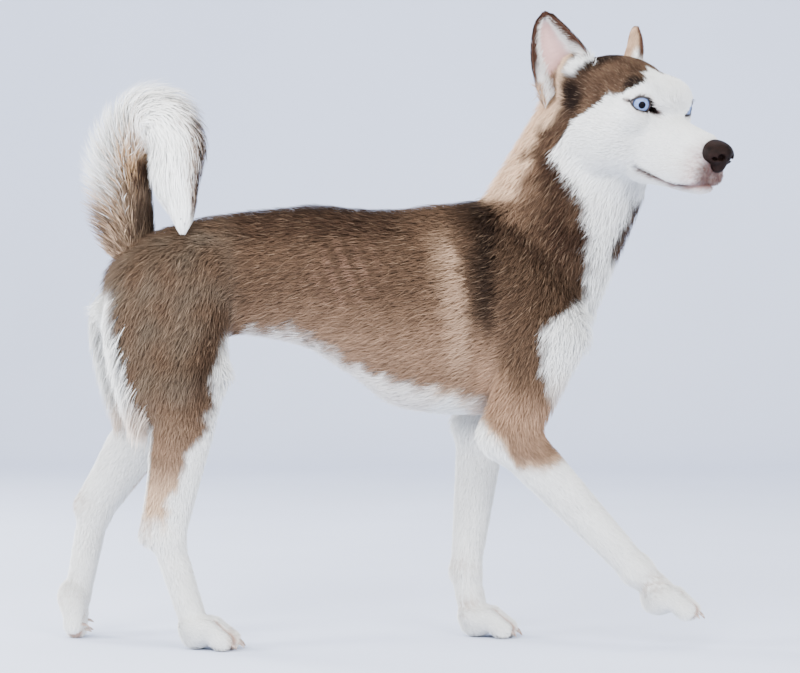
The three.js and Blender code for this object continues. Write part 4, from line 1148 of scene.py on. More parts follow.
def brush_markings(t, angle, share, jitter):
    """Brown at the root and inner side, cream and white outside and along the top, dark far edge."""
    outer = np.cos(angle) + 3 * jitter
    stem = ramp(t + jitter, 0.50, 0.38)
    # Painted light: the brush's white is a tenth brighter than the coat's white, for the strong light on the
    # tail.
    colour = blend_to(WHITE * 1.1, srgb(176, 142, 106), stem * ramp(outer, 0.72, 0.25))
    lower = 0.5 * ramp(t + jitter, 0.33, 0.24)
    colour = blend_to(colour, DARK * 0.8, stem * ramp(outer, 0.15 + lower, lower - 0.3) * ramp(t, 0.44, 0.33))
    foot = ramp(t + jitter, 0.27, 0.17)
    colour = blend_to(colour, blend_to(CREAM, BROWN, 0.45 + 11 * jitter), foot)
    colour = blend_to(colour, DARK, foot * (0.42 + 9 * jitter) * ramp(share, 0.2, 0.8))
    colour = blend_to(colour, BLACKISH, foot * ramp(outer, 0.45, -0.1) * 0.9)
    hanging = ramp(t + jitter, 0.53, 0.62) * ramp(t, 0.95, 0.84)
    colour = blend_to(colour, TAN, hanging * ramp(outer, 0.55, 0.8) * 0.8)
    colour = blend_to(colour, DARK, hanging * ramp(outer, 0.72, 0.95) * ramp(share, 0.1, 0.6))
    return colour


# Settings.

class HuskyCoat(bpy.types.PropertyGroup):
    length: bpy.props.FloatProperty(
        name="Hair length", description="Length of the short coat against its measured length", default=1.0,
        min=0.3, max=2.0)
    fullness: bpy.props.FloatProperty(
        name="Fullness", description="Number of tufts against the usual number", default=1.0,
        min=0.05, max=2.0)
    brush_locks: bpy.props.IntProperty(
        name="Brush locks", description="Locks on the tail", default=16500, min=500, max=30000)
    breech_locks: bpy.props.IntProperty(
        name="Breech locks", description="Long locks behind each thigh", default=3600, min=100, max=8000)


class HuskyFace(bpy.types.PropertyGroup):
    iris: bpy.props.FloatVectorProperty(
        name="Iris", description="Colour of the iris", subtype="COLOR", size=3,
        default=tuple(srgb(114, 133, 176)))
    iris_radius: bpy.props.FloatProperty(
        name="Iris radius", description="Half width of the iris", default=0.0086, unit="LENGTH")
    pupil_radius: bpy.props.FloatProperty(
        name="Pupil radius", description="Half width of the pupil", default=0.0034, unit="LENGTH")
    whisker_length: bpy.props.FloatProperty(
        name="Whisker length", description="Length of the longest whiskers", default=0.042, unit="LENGTH")
    whisker_thickness: bpy.props.FloatProperty(
        name="Whisker thickness", description="Thickness of a whisker at its root", default=0.0005,
        unit="LENGTH")


class HuskyStudio(bpy.types.PropertyGroup):
    paper: bpy.props.FloatVectorProperty(
        name="Paper", description="Colour of the floor and wall", subtype="COLOR", size=3,
        default=tuple(srgb(222, 230, 250)))
    brightness: bpy.props.FloatProperty(
        name="Brightness", description="Strength of the studio lamps", default=1.0, min=0.0)
    distance: bpy.props.FloatProperty(
        name="Camera distance", description="From the camera to the dog's middle plane", default=2.4,
        unit="LENGTH")


# Operators.

class HUSKY_OT_skin(bpy.types.Operator):
    """Grow one seamless skin under the coat, from the body plan"""
    bl_idname = "husky.skin"
    bl_label = "Skin"

    def execute(self, context):
        axes = (
            spaced(-372, (182, 3.6), (352, 1.9)),
            spaced(-152, (0, 2.2), (92, 3.0)),
            spaced(-3, (66, 2.5), (472, 3.8), (616, 1.9)),
        )
        values = flesh_on(axes)
        near = np.abs(values) < 22
        p = grid_of(axes)[near]
        values[near] = carve(p, values[near] + coat_depth(p))
        points, faces = surface(values, axes)
        points, normals = settle(skin_field, points, faces)
        points[:, 2] = np.maximum(points[:, 2], 0.25)
        # The skin takes the coat's markings, darkened as painted shade under the hair.
        colours = markings(points, normals) * SKIN_SHADE
        material = coloured_material("short_coat", 0.85, 0.08, 520, 0.35, 0.4)
        skin = piece("skin", points, faces, material, colours)
        skin.data.uv_layers.new(name="OFBake")
        context.view_layer.objects.active = skin
        bpy.ops.object.select_all(action="DESELECT")
        skin.select_set(True)
        bpy.ops.object.mode_set(mode="EDIT")
        bpy.ops.mesh.select_all(action="SELECT")
        bpy.ops.uv.smart_project(angle_limit=math.radians(66), island_margin=0.002)
        bpy.ops.object.mode_set(mode="OBJECT")
        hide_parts(*FLESH_NODES)
        return {"FINISHED"}


class HUSKY_OT_coat(bpy.types.Operator):
    """Cover the skin with short tufts that follow the lie of the coat"""
    bl_idname = "husky.coat"
    bl_label = "Short coat"

    def execute(self, context):
        settings = context.scene.husky_coat
        rng = np.random.default_rng(4)
        points, faces, normals, uv = skin_arrays()
        sizes, lie = styles(points)
        q = to_head(points)
        keep = np.ones(len(points))
        for side in (-1, 1):
            gap, e = lid_gap(q, side)
            ball = np.linalg.norm(e, axis=1)
            corner = np.hypot((e[:, 1] - 19.5) / 7, (e[:, 2] + 3.5) / 4.5)
            keep[(ball < 30) & (e[:, 0] > -4) & (np.minimum(gap, 2 * corner) < 2)] = 0
        line = q[:, 2] - np.interp(q[:, 0], MOUTH[:, 0], MOUTH[:, 1])
        keep[(q[:, 0] > 10) & (np.abs(line) < 1.2) & (np.abs(q[:, 1]) < 50)] = 0
        keep[np.linalg.norm(q - (97, 0, -27), axis=1) < 15] = 0
        keep[points[:, 2] < 1.2] = 0
        fullness = settings.fullness * 1.0
        corners, w, owner, loops = scatter(points, faces, sizes[:, 2], keep, rng, fullness)

        def at(values):
            return (values[corners] * w[:, :, None]).sum(1)

        root = at(points)
        normal = unit(at(normals))
        flow = at(lie) + rng.normal(0, 0.10, (len(root), 3))
        flow = unit(flow - (flow * normal).sum(1)[:, None] * normal)
        size = at(sizes)
        spread = (uv[owner[:, None], loops] * w[:, :, None]).sum(1)
        length = size[:, 0] * settings.length * (0.75 + 0.5 * rng.random(len(root)))
        shaggy = ramp(normal[:, 0], -0.35, -0.8) * ramp(root[:, 0], -225, -250) * ramp(root[:, 2], 180, 220)
        length *= 1 + 0.8 * shaggy
        length *= 1 + 0.5 * ramp(normal[:, 2], -0.4, -0.9) * ramp(root[:, 2], 225, 245)
        rise = coat_depth(root) * (0.92 + 0.25 * rng.random(len(root)))
        colour = markings(root + flow * (length * 0.35)[:, None], normal)
        bright = colour.mean(1)
        vary = np.exp(rng.normal(0, 1, len(root)) * np.interp(bright, [0.02, 0.3, 0.8], [0.22, 0.12, 0.04]))
        colour = colour * vary[:, None]
        grey = rng.random(len(root)) < 0.08
        colour[grey] = blend_to(colour[grey], CREAM, 0.12 * (bright[grey] < 0.3))
        names = parts_of(root)
        material = fur_material()
        for name in sorted(set(names)):
            chosen = np.flatnonzero(names == name)
            pieces = max(1, math.ceil(len(chosen) / LARGEST_PIECE))
            for part, few in enumerate(np.array_split(chosen, pieces)):
                pts, tris, shade, spots = mixed_tufts(
                    root[few], normal[few], flow[few], length[few], rise[few], size[few, 1], colour[few],
                    spread[few], rng)
                pts[:, 2] = np.maximum(pts[:, 2], 0.1)
                made = piece(f"coat_{name}_{part + 1}", pts, tris, material, shade, uv=spots)
        return {"FINISHED"}


class HUSKY_OT_brush(bpy.types.Operator):
    """Set the long locks of the tail and the breeches"""
    bl_idname = "husky.brush"
    bl_label = "Brush and breeches"

    def execute(self, context):
        settings = context.scene.husky_coat
        rng = np.random.default_rng(9)
        material = coloured_material("long_hair", 0.8, 0.1, 500, 0.15, 0)
        thin = 1.0
        n = int(settings.brush_locks * thin)
        end = np.clip(0.04 + (1 - 0.04) * (np.arange(n) + rng.random(n)) / n, 0, 1)
        angle = rng.random(n) * 2 * math.pi
        flare = ramp(np.cos(angle), -0.2, 0.6) * ramp(end, 0.68, 0.5)
        reach = (44 + 18 * rng.random(n)) * (1 - 0.5 * flare)
        start = np.maximum(end - reach / BRUSH_LENGTH, 0.0)
        layer = rng.random(n) ** 0.6
        tip_share = (0.64 + 0.44 * layer + 0.16 * flare * layer
                     + 0.2 * flare * ramp(end, 0.26, 0.14) * ramp(end, 0.04, 0.1))
        swirl = rng.normal(0, 0.2, n)
        shift = rng.normal(0, 0.03, n)
        lines = []
        for s in np.linspace(0, 1, LOCK_RINGS):
            share = 0.24 + (tip_share - 0.24) * s ** 0.75
            lines.append(tail_point(start + (end - start) * s, angle + swirl * s, share))
        lines = np.stack(lines, axis=1)
        wave = rng.normal(0, 1.3, (n, 1, 3)) * np.sin(np.linspace(0, math.pi, LOCK_RINGS))[None, :, None]
        lines = lines + wave
        outward = unit(lines[:, 3] - curve(TAIL[:, :3], (start + end) / 2))
        colours = np.stack([
            brush_markings(start + (end - start) * s, angle, np.full(n, s), shift) * (0.9 + 0.1 * s)
            for s in np.linspace(0, 1, LOCK_RINGS)], axis=1)
        vary = np.exp(rng.normal(0, 0.09, n))[:, None, None]
        colours = colours * vary
        spread = nearest_unwrap(lines[:, 0])
        half = 0.6 + 0.45 * rng.random(n)
        for part, few in enumerate(np.array_split(np.arange(n), 2)):
            pts, tris, shade, spots = long_locks(
                lines[few], outward[few], half[few], colours[few], spread[few])
            made = piece(f"brush_{part + 1}", pts, tris, material, shade, uv=spots)
        for name, sign in (("right", -1), ("left", 1)):
            fringe = HIND[name]["fringe"]
            m = int(settings.breech_locks * thin)
            u = 0.1 + 0.9 * (np.arange(m) + rng.random(m)) / m
            tip = curve(fringe, u)
            inset = rng.random(m) ** 1.3
            tip = tip + np.stack([(15 if sign < 0 else 22) * inset, rng.normal(-2 * sign, 8, m),
                                  rng.normal(0, 6, m)], axis=1)
            long = (26 + 16 * rng.random(m)) * (0.6 + 0.4 * ramp(u, 0.1, 0.4))
            root = tip + np.stack([15 - 5 * u, rng.normal(0, 2.5, m), long], axis=1)
            lines = []
            for s in np.linspace(0, 1, LOCK_RINGS):
                bow = 4 * s * (1 - s)
                lines.append(root + (tip - root) * s + np.array([-3.0, 0, 2.0]) * bow)
            lines = np.stack(lines, axis=1)
            outward = np.tile([-1.0, 0.25 * sign, 0.1], (m, 1)) + rng.normal(0, 0.25, (m, 3))
            shade = WHITE * np.exp(rng.normal(0, 0.04, m))[:, None]
            tint = blend_to(shade, CREAM, ramp(tip[:, 2], 250, 210) * 0.5)
            tone = np.linspace(0.92, 1.0, LOCK_RINGS)[None, :, None] * tint[:, None]
            pts, tris, shades, spots = long_locks(
                lines, outward, 0.45 + 0.3 * rng.random(m), tone, nearest_unwrap(root))
            made = piece(f"breeches_{name}", pts, tris, material, shades, uv=spots)
        return {"FINISHED"}


# The right ear's two edges from its foot to its tip, in the head's frame, and the way it faces.
EAR_FRONT = unit([0.72, -0.66, -0.1])
EAR_INNER = [(-58, -32, 20), (-71, -42, 42), (-88, -54, 58), (-102, -61, 67), (-110, -65, 72)]
EAR_OUTER = [(-98, -60, -26), (-106, -74, 2), (-112, -80, 26), (-118, -78, 50), (-120, -73, 68)]


def ear_sheet(s, t, inset, reach=1.0):
    """A point of the right ear: s up it, t from its inner to its outer edge, inset from the back."""
    a, b = curve(EAR_INNER, s * reach), curve(EAR_OUTER, s * reach)
    middle = (a + b) / 2
    round_off = np.sqrt(np.clip(1 - (np.clip(s - 0.84, 0, 1) / 0.161) ** 2, 0.01, 1))[..., None]
    a, b = middle + (a - middle) * round_off, middle + (b - middle) * round_off
    chord = b - a
    width = np.linalg.norm(chord, axis=-1, keepdims=True)
    chord = chord / width
    edge = np.minimum(inset, width * 0.3)
    a, b = a + chord * edge, b - chord * edge
    deep = 22 * (1 - s) ** 0.8 + 3
    cup = (deep - np.minimum(inset, deep * 0.7)) * np.sin(math.pi * t)
    return a + (b - a) * ((1 - np.cos(math.pi * t)) / 2)[..., None] - EAR_FRONT * cup[..., None]


def ear_back_colour(points, s, t):
    """Tan back of the ear, brown at its foot and white at the foot of its inner edge."""
    colour = blend_to(TAN, CREAM, 0.3 + 0.4 * ripple(points, 18, 0.5))
    colour = blend_to(colour, BROWN, ramp(s, 0.30, 0.0) * 0.5)
    return blend_to(colour, WHITE, ramp(t, 0.24, 0.12) * ramp(s, 0.42, 0.26))


def sheet_place(s, t, start):
    """A root's place on the ear's unwrap: its back fills the left half, its inside the right."""
    return np.stack([start + 0.46 * t, 0.02 + 0.96 * s], axis=1)


class HUSKY_OT_ears(bpy.types.Operator):
    """Form both cupped ears with their rims, inner down and short fur"""
    bl_idname = "husky.ears"
    bl_label = "Ears"

    def execute(self, context):
        rng = np.random.default_rng(21)
        steps = np.linspace(0, 1, 29)
        s, t = np.meshgrid(steps, steps, indexing="ij")
        count = s.size
        grid = np.arange(count).reshape(s.shape)
        a, b, c, d = grid[:-1, :-1], grid[1:, :-1], grid[1:, 1:], grid[:-1, 1:]
        quads = np.stack([a, b, c, d], axis=-1).reshape(-1, 4)
        faces = [quads, quads[:, ::-1] + count]
        loop = np.concatenate([grid[0], grid[1:, -1], grid[-1, -2::-1], grid[-2:0:-1, 0]])
        after = np.roll(loop, -1)
        faces.append(np.stack([loop, after, after + count, loop + count], axis=1))
        faces = np.concatenate(faces)
        s2, t2 = np.tile(s.ravel(), 2), np.tile(t.ravel(), 2)
        inner = np.repeat([0.0, 1.0], count)
        rim = np.maximum(ramp(np.abs(t2 - 0.5), 0.37, 0.45), ramp(s2, 0.80, 0.92))
        points = np.vstack([ear_sheet(s.ravel(), t.ravel(), depth) for depth in (0.9, 2.6)])
        fur = ear_back_colour(points, s2, t2)
        bare = ramp(np.abs(t2 - 0.55), 0.32, 0.1) * ramp(s2, 0.02, 0.2) * ramp(s2, 0.95, 0.7)
        shell = blend_to(WHITE * 0.95, PINK, bare)
        colours = blend_to(fur, shell, inner)
        colours = blend_to(colours, EAR_RIM, rim * ramp(s2, 0.05, 0.3))
        material = coloured_material("ear_skin", 0.75, 0.12, 500, 0.25, 0.2)
        hair = fur_material()
        thin = 1.0
        for name, side in (("right", -1), ("left", 1)):
            flip = np.array([1, -side, 1])
            turned = faces if side < 0 else faces[:, ::-1]
            reach = 1.0 if side < 0 else 0.93
            points = np.vstack([ear_sheet(s.ravel(), t.ravel(), depth, reach) for depth in (0.9, 2.6)])
            ear = piece(f"ear_{name}_leaf", from_head(points * flip), turned, material, colours)
            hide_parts(f"ear_{name}")
            # Short fur on the back, longer down across the opening, dark fur along the rim.
            n = int(7000 * thin)
            us, ut = rng.random(n) ** 1.15 * 0.97, rng.random(n)
            back = ear_sheet(us, ut, 0.9, reach)
            up = unit(ear_sheet(np.minimum(us + 0.02, 1), ut, 0.9, reach) - back)
            over = unit(ear_sheet(us, np.clip(ut + 0.02, 0, 1), 0.9, reach)
                        - ear_sheet(us, np.clip(ut - 0.02, 0, 1), 0.9, reach))
            out = unit(np.cross(over, up))
            out *= np.sign((out * -EAR_FRONT).sum(1))[:, None]
            tone = ear_back_colour(back, us, ut)
            edge = np.maximum(ramp(np.abs(ut - 0.5), 0.36, 0.46), ramp(us, 0.74, 0.90))
            tone = blend_to(tone, EAR_RIM, edge * ramp(us, 0.05, 0.3))
            tone = tone * np.exp(rng.normal(0, 0.12, n))[:, None]
            groups = [(back, out, up + 0.15 * over * np.sign(ut - 0.5)[:, None],
                       6.5 - 2.5 * us, np.full(n, 1.4), np.full(n, 0.42), tone, sheet_place(us, ut, 0.02))]
            m = int(5200 * thin)
            us, which = rng.random(m) ** 1.1 * 0.98, rng.random(m) < 0.58
            ut = np.where(which, 0.03 + 0.22 * rng.random(m) ** 1.2, 0.97 - 0.2 * rng.random(m) ** 1.2)
            place = ear_sheet(us, ut, 2.4, reach)
            middle = ear_sheet(us, np.full(m, 0.5), 2.6, reach)
            up = unit(ear_sheet(np.minimum(us + 0.02, 1), ut, 2.6, reach) - place)
            across = unit(middle - place)
            tone = blend_to(WHITE, CREAM, 0.35 * rng.random(m))
            edge = np.maximum(ramp(np.abs(ut - 0.5), 0.42, 0.46),
                              ramp(us + 0.25 * np.abs(ut - 0.5), 0.93, 0.97))
            tone = blend_to(tone, EAR_RIM, edge * ramp(us, 0.15, 0.4))
            long = (15 - 9 * us) * (0.6 + 0.6 * rng.random(m))
            facing = np.tile(EAR_FRONT, (m, 1))
            groups.append((place, facing, 0.75 * up + 0.6 * across + 0.25 * facing, long, 0.22 * long,
                           np.full(m, 0.4), tone * np.exp(rng.normal(0, 0.06, m))[:, None],
                           sheet_place(us, ut, 0.52)))
            k = int(1500 * thin)
            us, ut = rng.random(k) * 0.16, rng.random(k)
            place = ear_sheet(us, ut, 1.6, reach)
            facing = unit(EAR_FRONT + rng.normal(0, 0.25, (k, 3)))
            tone = blend_to(CREAM, TAN, rng.random(k))
            tone = blend_to(tone, WHITE, ramp(ut, 0.5, 0.3))
            flow = unit(np.array([-0.3, -0.2, 0.9]) + rng.normal(0, 0.3, (k, 3)))
            groups.append((place, facing, flow, 9 + 6 * rng.random(k), np.full(k, 4.0), np.full(k, 0.5), tone,
                           sheet_place(us, ut, 0.52)))
            mirror = HEAD_AXES @ np.diag(flip)
            made = []
            offset = 0
            for where, normal, flow, long, rise, half, tone, spread in groups:
                normal = unit(normal)
                flow = unit(flow - (flow * normal).sum(1)[:, None] * normal)
                pts, tris, shade, spots = mixed_tufts(
                    from_head(where * flip), normal @ mirror.T, flow @ mirror.T, long, rise, half, tone,
                    spread, rng)
                made.append((pts, tris + offset, shade, spots))
                offset += len(pts)
            pts, tris, shade, spots = (np.vstack(arrays) for arrays in zip(*made))
            fluff = piece(f"coat_ear_{name}", pts, tris, hair, shade, uv=spots)
        return {"FINISHED"}


class HUSKY_OT_eyes(bpy.types.Operator):
    """Set both eyes, with pale irises, and the dark rims of their lids"""
    bl_idname = "husky.eyes"
    bl_label = "Eyes"

    def execute(self, context):
        face = context.scene.husky_face
        rng = np.random.default_rng(31)
        iris_angle = math.asin(face.iris_radius * 1000 / EYE_RADIUS)
        pupil_angle = math.asin(face.pupil_radius * 1000 / EYE_RADIUS)
        iris = np.array(face.iris)
        material = coloured_material("wet_eye", 0.1, 0.03, 900, 0.12, 0, coat=0.02)
        rim_material = coloured_material("lid_rim", 0.35, 0.5, 900, 0.3, 0.2, coat=0.3)
        polar = np.concatenate([
            np.linspace(0, pupil_angle, 6)[1:], np.linspace(pupil_angle, iris_angle, 16)[1:],
            np.linspace(iris_angle, math.pi, 22)[1:-1]])
        around = 72
        turnings = np.linspace(0, 2 * math.pi, around, endpoint=False)
        for name, side in (("right", -1), ("left", 1)):
            gaze = unit([0.86, side * (0.49 if side < 0 else 0.62), -0.02])
            left = unit(np.cross([0, 0, 1], gaze))
            up = np.cross(gaze, left)
            points, colours = [eye_centre(side) + gaze * (EYE_RADIUS + 0.7)], [np.zeros(3)]
            for angle in polar:
                bulge = 0.7 * ramp(np.array([angle]), iris_angle * 1.08, 0)[0]
                radius = EYE_RADIUS + bulge
                for a in turnings:
                    out = gaze * math.cos(angle) + (left * math.cos(a) + up * math.sin(a)) * math.sin(angle)
                    points.append(eye_centre(side) + out * radius)
                    streak = 0.5 + 0.5 * math.sin(a * 17 + 2 * math.sin(a * 5)) * math.sin(a * 29 + 1)
                    if angle <= pupil_angle * 1.02:
                        colour = np.array([0.004, 0.004, 0.006])
                    elif angle <= iris_angle:
                        f = (angle - pupil_angle) / (iris_angle - pupil_angle)
                        colour = iris * (0.8 + 0.34 * streak) * (1.12 - 0.25 * f)
                        ring = min(1, max(0, (f - 0.70) / 0.2))
                        colour = colour * (1 - ring) + np.array([0.02, 0.03, 0.06]) * ring
                        inner_ring = min(1, max(0, (0.12 - f) / 0.12))
                        colour = colour * (1 - 0.5 * inner_ring)
                    else:
                        colour = np.array([0.16, 0.11, 0.10])
                    colours.append(colour)
            points.append(eye_centre(side) - gaze * EYE_RADIUS)
            colours.append(np.array([0.2, 0.15, 0.14]))
            faces = []
            for j in range(around):
                k = (j + 1) % around
                faces.append((0, 1 + j, 1 + k, 1 + k))
                for i in range(len(polar) - 1):
                    a, b = 1 + i * around, 1 + (i + 1) * around
                    faces.append((a + j, b + j, b + k, a + k))
                end = 1 + (len(polar) - 1) * around
                faces.append((end + j, len(points) - 1, end + k, end + k))
            eye = triangles_piece(
                f"eye_ball_{name}", from_head(np.array(points)), faces, material, np.array(colours))
            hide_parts(f"eye_{name}")
            # The rim follows the lids' opening on a slightly larger ball.
            y = np.linspace(LID_Y[0], LID_Y[-1], 40)
            y = np.concatenate([y, np.linspace(LID_Y[-1], LID_Y[0], 40)[1:-1]])
            z = np.concatenate([np.interp(y[:40], LID_Y, LID_TOP), np.interp(y[40:], LID_Y, LID_BOTTOM)])
            for _ in range(2):
                z = 0.25 * np.roll(z, 1) + 0.5 * z + 0.25 * np.roll(z, -1)
                y = 0.25 * np.roll(y, 1) + 0.5 * y + 0.25 * np.roll(y, -1)
            radius = EYE_RADIUS + 0.9
            reach = np.minimum(np.hypot(y, z), radius * 0.985)
            scale = reach / np.maximum(np.hypot(y, z), 1e-6)
            x = np.sqrt(np.maximum(radius ** 2 - reach ** 2, 0))
            beyond = np.maximum(np.hypot(y, z) - reach, 0)
            scale = np.maximum(scale, 0.9)
            path = np.stack([x - 0.3 * beyond, y * scale, z * scale], axis=1)
            path = path @ eye_axes(side).T + eye_centre(side)
            thick = np.where(np.arange(len(y)) < 40, 1.0, 0.8) * (1 + 0.5 * ramp(y, 4, 12))
            # The far eye's dark rim is nearly twice as thick, partly as painted shade where that eye lies in
            # shadow.
            if side > 0:
                thick = thick * 1.9
            pts, quads = ring_tube(path, thick, 10)
            shade = np.tile(srgb(24, 16, 15), (len(pts), 1))
            quads = quads if side < 0 else quads[:, ::-1]
            rim = piece(f"lid_rim_{name}", from_head(pts), quads, rim_material, shade)
            fix_normals(rim)
            # Short dark lashes stand out from the upper lid.
            spots = np.linspace(5, 34, 30).astype(int)
            out = unit((path[spots] - eye_centre(side)) @ HEAD_AXES.T + rng.normal(0, 0.12, (30, 3)))
            upwards = HEAD_AXES[:, 2] - out * (out @ HEAD_AXES[:, 2])[:, None]
            pts, tris, shade, _ = tufts(
                from_head(path[spots]), unit(upwards), out, 4 + 2.5 * rng.random(30), np.full(30, 1.8),
                np.full(30, 0.32), np.tile(srgb(44, 30, 26), (30, 1)), np.zeros((30, 2)), rng)
            lashes = piece(f"lashes_{name}", pts, tris, fur_material(), shade)
        return {"FINISHED"}


def triangles_piece(name, points, faces, material, colours):
    """A piece whose faces are quads and, where a corner is repeated, triangles."""
    tris = []
    for a, b, c, d in faces:
        tris.append((a, b, c))
        if d != c:
            tris.append((a, c, d))
    made = piece(name, points, np.array(tris), material, colours)
    fix_normals(made)
    return made


def fix_normals(thing):
    """Turns every face of a closed mesh outwards."""
    work = bmesh.new()
    work.from_mesh(thing.data)
    bmesh.ops.remove_doubles(work, verts=work.verts, dist=1e-6)
    bmesh.ops.recalc_face_normals(work, faces=work.faces)
    work.to_mesh(thing.data)
    work.free()


def nose_field(q):
    """The nose leather in the head's frame."""
    def ball(centre, sizes):
        v = q - np.array(centre)
        return oval(v.T, sizes)

    def melt(d, e, soft):
        h = np.maximum(soft - np.abs(d - e), 0) / soft
        return np.minimum(d, e) - h * h * soft * 0.25

    d = ball((91, 0, -21), (15.5, 13.5, 8.5))
    d = melt(d, ball((99, 0, -25), (10, 11, 8.5)), 5)
    d = melt(d, ball((97, 0, -35), (8.5, 7, 9.5)), 6)
    for s in (-1, 1):
        v = q - np.array([94, s * 9.0, -27])
        d = melt(d, oval(v.T, (11.5, 7, 8.5)), 5)
    d = np.maximum(d, 84 - q[:, 0] + 0.2 * (q[:, 2] + 27))
    for s in (-1, 1):
        v = (q - np.array([106, s * 7.4, -27.5])) @ turn("Z", 34 * s)
        hole = oval(v.T, (7, 4.0, 3.6))
        v = (q - np.array([101.5, s * 12.5, -30])) @ turn("Z", 62 * s)
        slit = oval(v.T, (6.8, 2.8, 1.9))
        hollow = melt(hole, slit, 2)
        h = np.maximum(1.2 - np.abs(d + hollow), 0) / 1.2
        d = np.maximum(d, -hollow) + h * h * 0.3
    groove = np.hypot(q[:, 1], (q[:, 0] - 109.5) / 1.6) - 1.3
    groove = np.maximum(groove, q[:, 2] + 27)
    return np.maximum(d, -groove)


class HUSKY_OT_nose(bpy.types.Operator):
    """Carve the nose leather with its nostrils and groove"""
    bl_idname = "husky.nose"
    bl_label = "Nose"

    def execute(self, context):
        axes = (np.arange(80, 113, 0.6), np.arange(-20, 20.1, 0.6), np.arange(-48, -6, 0.6))
        values = nose_field(grid_of(axes).reshape(-1, 3)).reshape([len(a) for a in axes])
        points, faces = surface(values, axes)
        points, _ = settle(nose_field, points, faces)
        nose = piece("nose_leather", from_head(points), faces, leather_material())
        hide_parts("nose")
        return {"FINISHED"}


def whisker_tree():
    """Geometry Nodes: each line of the given mesh becomes a tapering rod."""
    tree = bpy.data.node_groups.new("whisker_rods", "GeometryNodeTree")
    tree.interface.new_socket("Geometry", in_out="INPUT", socket_type="NodeSocketGeometry")
    thickness = tree.interface.new_socket("Thickness", in_out="INPUT", socket_type="NodeSocketFloat")
    finish = tree.interface.new_socket("Material", in_out="INPUT", socket_type="NodeSocketMaterial")
    tree.interface.new_socket("Geometry", in_out="OUTPUT", socket_type="NodeSocketGeometry")
    nodes, links = tree.nodes, tree.links
    source, sink = nodes.new("NodeGroupInput"), nodes.new("NodeGroupOutput")
    lines = nodes.new("GeometryNodeMeshToCurve")
    along = nodes.new("GeometryNodeSplineParameter")
    taper = nodes.new("ShaderNodeMapRange")
    taper.inputs["To Min"].default_value = 0.5
    taper.inputs["To Max"].default_value = 0.08
    size = nodes.new("ShaderNodeMath")
    size.operation = "MULTIPLY"
    radius = nodes.new("GeometryNodeSetCurveRadius")
    ring = nodes.new("GeometryNodeCurvePrimitiveCircle")
    ring.inputs["Resolution"].default_value = 5
    ring.inputs["Radius"].default_value = 1.0
    rods = nodes.new("GeometryNodeCurveToMesh")
    rods.inputs["Fill Caps"].default_value = True
    real = nodes.new("GeometryNodeRealizeInstances")
    coat = nodes.new("GeometryNodeSetMaterial")
    links.new(source.outputs["Geometry"], lines.inputs["Mesh"])
    links.new(along.outputs["Factor"], taper.inputs["Value"])
    links.new(taper.outputs["Result"], size.inputs[0])
    links.new(source.outputs["Thickness"], size.inputs[1])
    links.new(lines.outputs["Curve"], radius.inputs["Curve"])
    links.new(size.outputs[0], radius.inputs["Radius"])
    links.new(radius.outputs["Curve"], rods.inputs["Curve"])
    links.new(ring.outputs["Curve"], rods.inputs["Profile Curve"])
    if "Scale" in rods.inputs:
        links.new(size.outputs[0], rods.inputs["Scale"])
    links.new(rods.outputs["Mesh"], real.inputs["Geometry"])
    links.new(real.outputs["Geometry"], coat.inputs["Geometry"])
    links.new(source.outputs["Material"], coat.inputs["Material"])
    links.new(coat.outputs["Geometry"], sink.inputs["Geometry"])
    return tree, thickness.identifier, finish.identifier


class HUSKY_OT_whiskers(bpy.types.Operator):
    """Set the whiskers on the lips and above the eyes"""
    bl_idname = "husky.whiskers"
    bl_label = "Whiskers"

    def execute(self, context):
        face = context.scene.husky_face
        rng = np.random.default_rng(12)
        longest = face.whisker_length * 1000
        points, edges = [], []
        for side in (-1, 1):
            roots = [(60 + 7 * i, 17 - 1.2 * i, -38 - 5 * j, 1.0 - 0.12 * i)
                     for i in range(4) for j in range(3)]
            roots += [(20, 24, 17, 0.5), (16, 27, 18, 0.45), (-28, 50, -40, 0.4)]
            for x, y, z, size in roots:
                start = np.array([x, side * y, z]) + rng.normal(0, 0.8, 3)
                length = longest * size * (0.75 + 0.35 * rng.random())
                way = unit([-0.55, side * 0.9, -0.18 + 0.1 * rng.normal()])
                drop = np.array([-0.35, 0, -0.3])
                base = len(points)
                for k in range(7):
                    s = k / 6
                    points.append(start + way * length * s + drop * length * s * s * 0.6)
                    if k:
                        edges.append((base + k - 1, base + k))
        mesh = bpy.data.meshes.new("whisker_lines")
        mesh.from_pydata(row(from_head(np.array(points))).tolist(), edges, [])
        lines = bpy.data.objects.new("whisker_lines", mesh)
        context.scene.collection.objects.link(lines)
        tree, thickness, finish = whisker_tree()
        modifier = lines.modifiers.new("rods", "NODES")
        modifier.node_group = tree
        modifier[thickness] = face.whisker_thickness
        modifier[finish] = horn_material("whisker_horn", srgb(188, 180, 172), srgb(236, 232, 228), 0.4)
        context.view_layer.update()
        evaluated = lines.evaluated_get(context.evaluated_depsgraph_get())
        rods = bpy.data.meshes.new_from_object(evaluated)
        rods.name = "whiskers"
        whiskers = bpy.data.objects.new("whiskers", rods)
        context.scene.collection.objects.link(whiskers)
        lines.modifiers.remove(modifier)
        bpy.data.objects.remove(lines)
        fix_normals(whiskers)
        smooth(whiskers.data)
        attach(whiskers, "root")
        return {"FINISHED"}


class HUSKY_OT_claws(bpy.types.Operator):
    """Give the claws of the frame their horn"""
    bl_idname = "husky.claws"
    bl_label = "Claws"

    def execute(self, context):
        horn = horn_material("claw_horn", srgb(138, 112, 98), srgb(206, 188, 174), 0.4)
        for name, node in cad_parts.items():
            if name.startswith("claw_"):
                node.data.materials.clear()
                node.data.materials.append(horn)
                smooth(node.data)
        return {"FINISHED"}


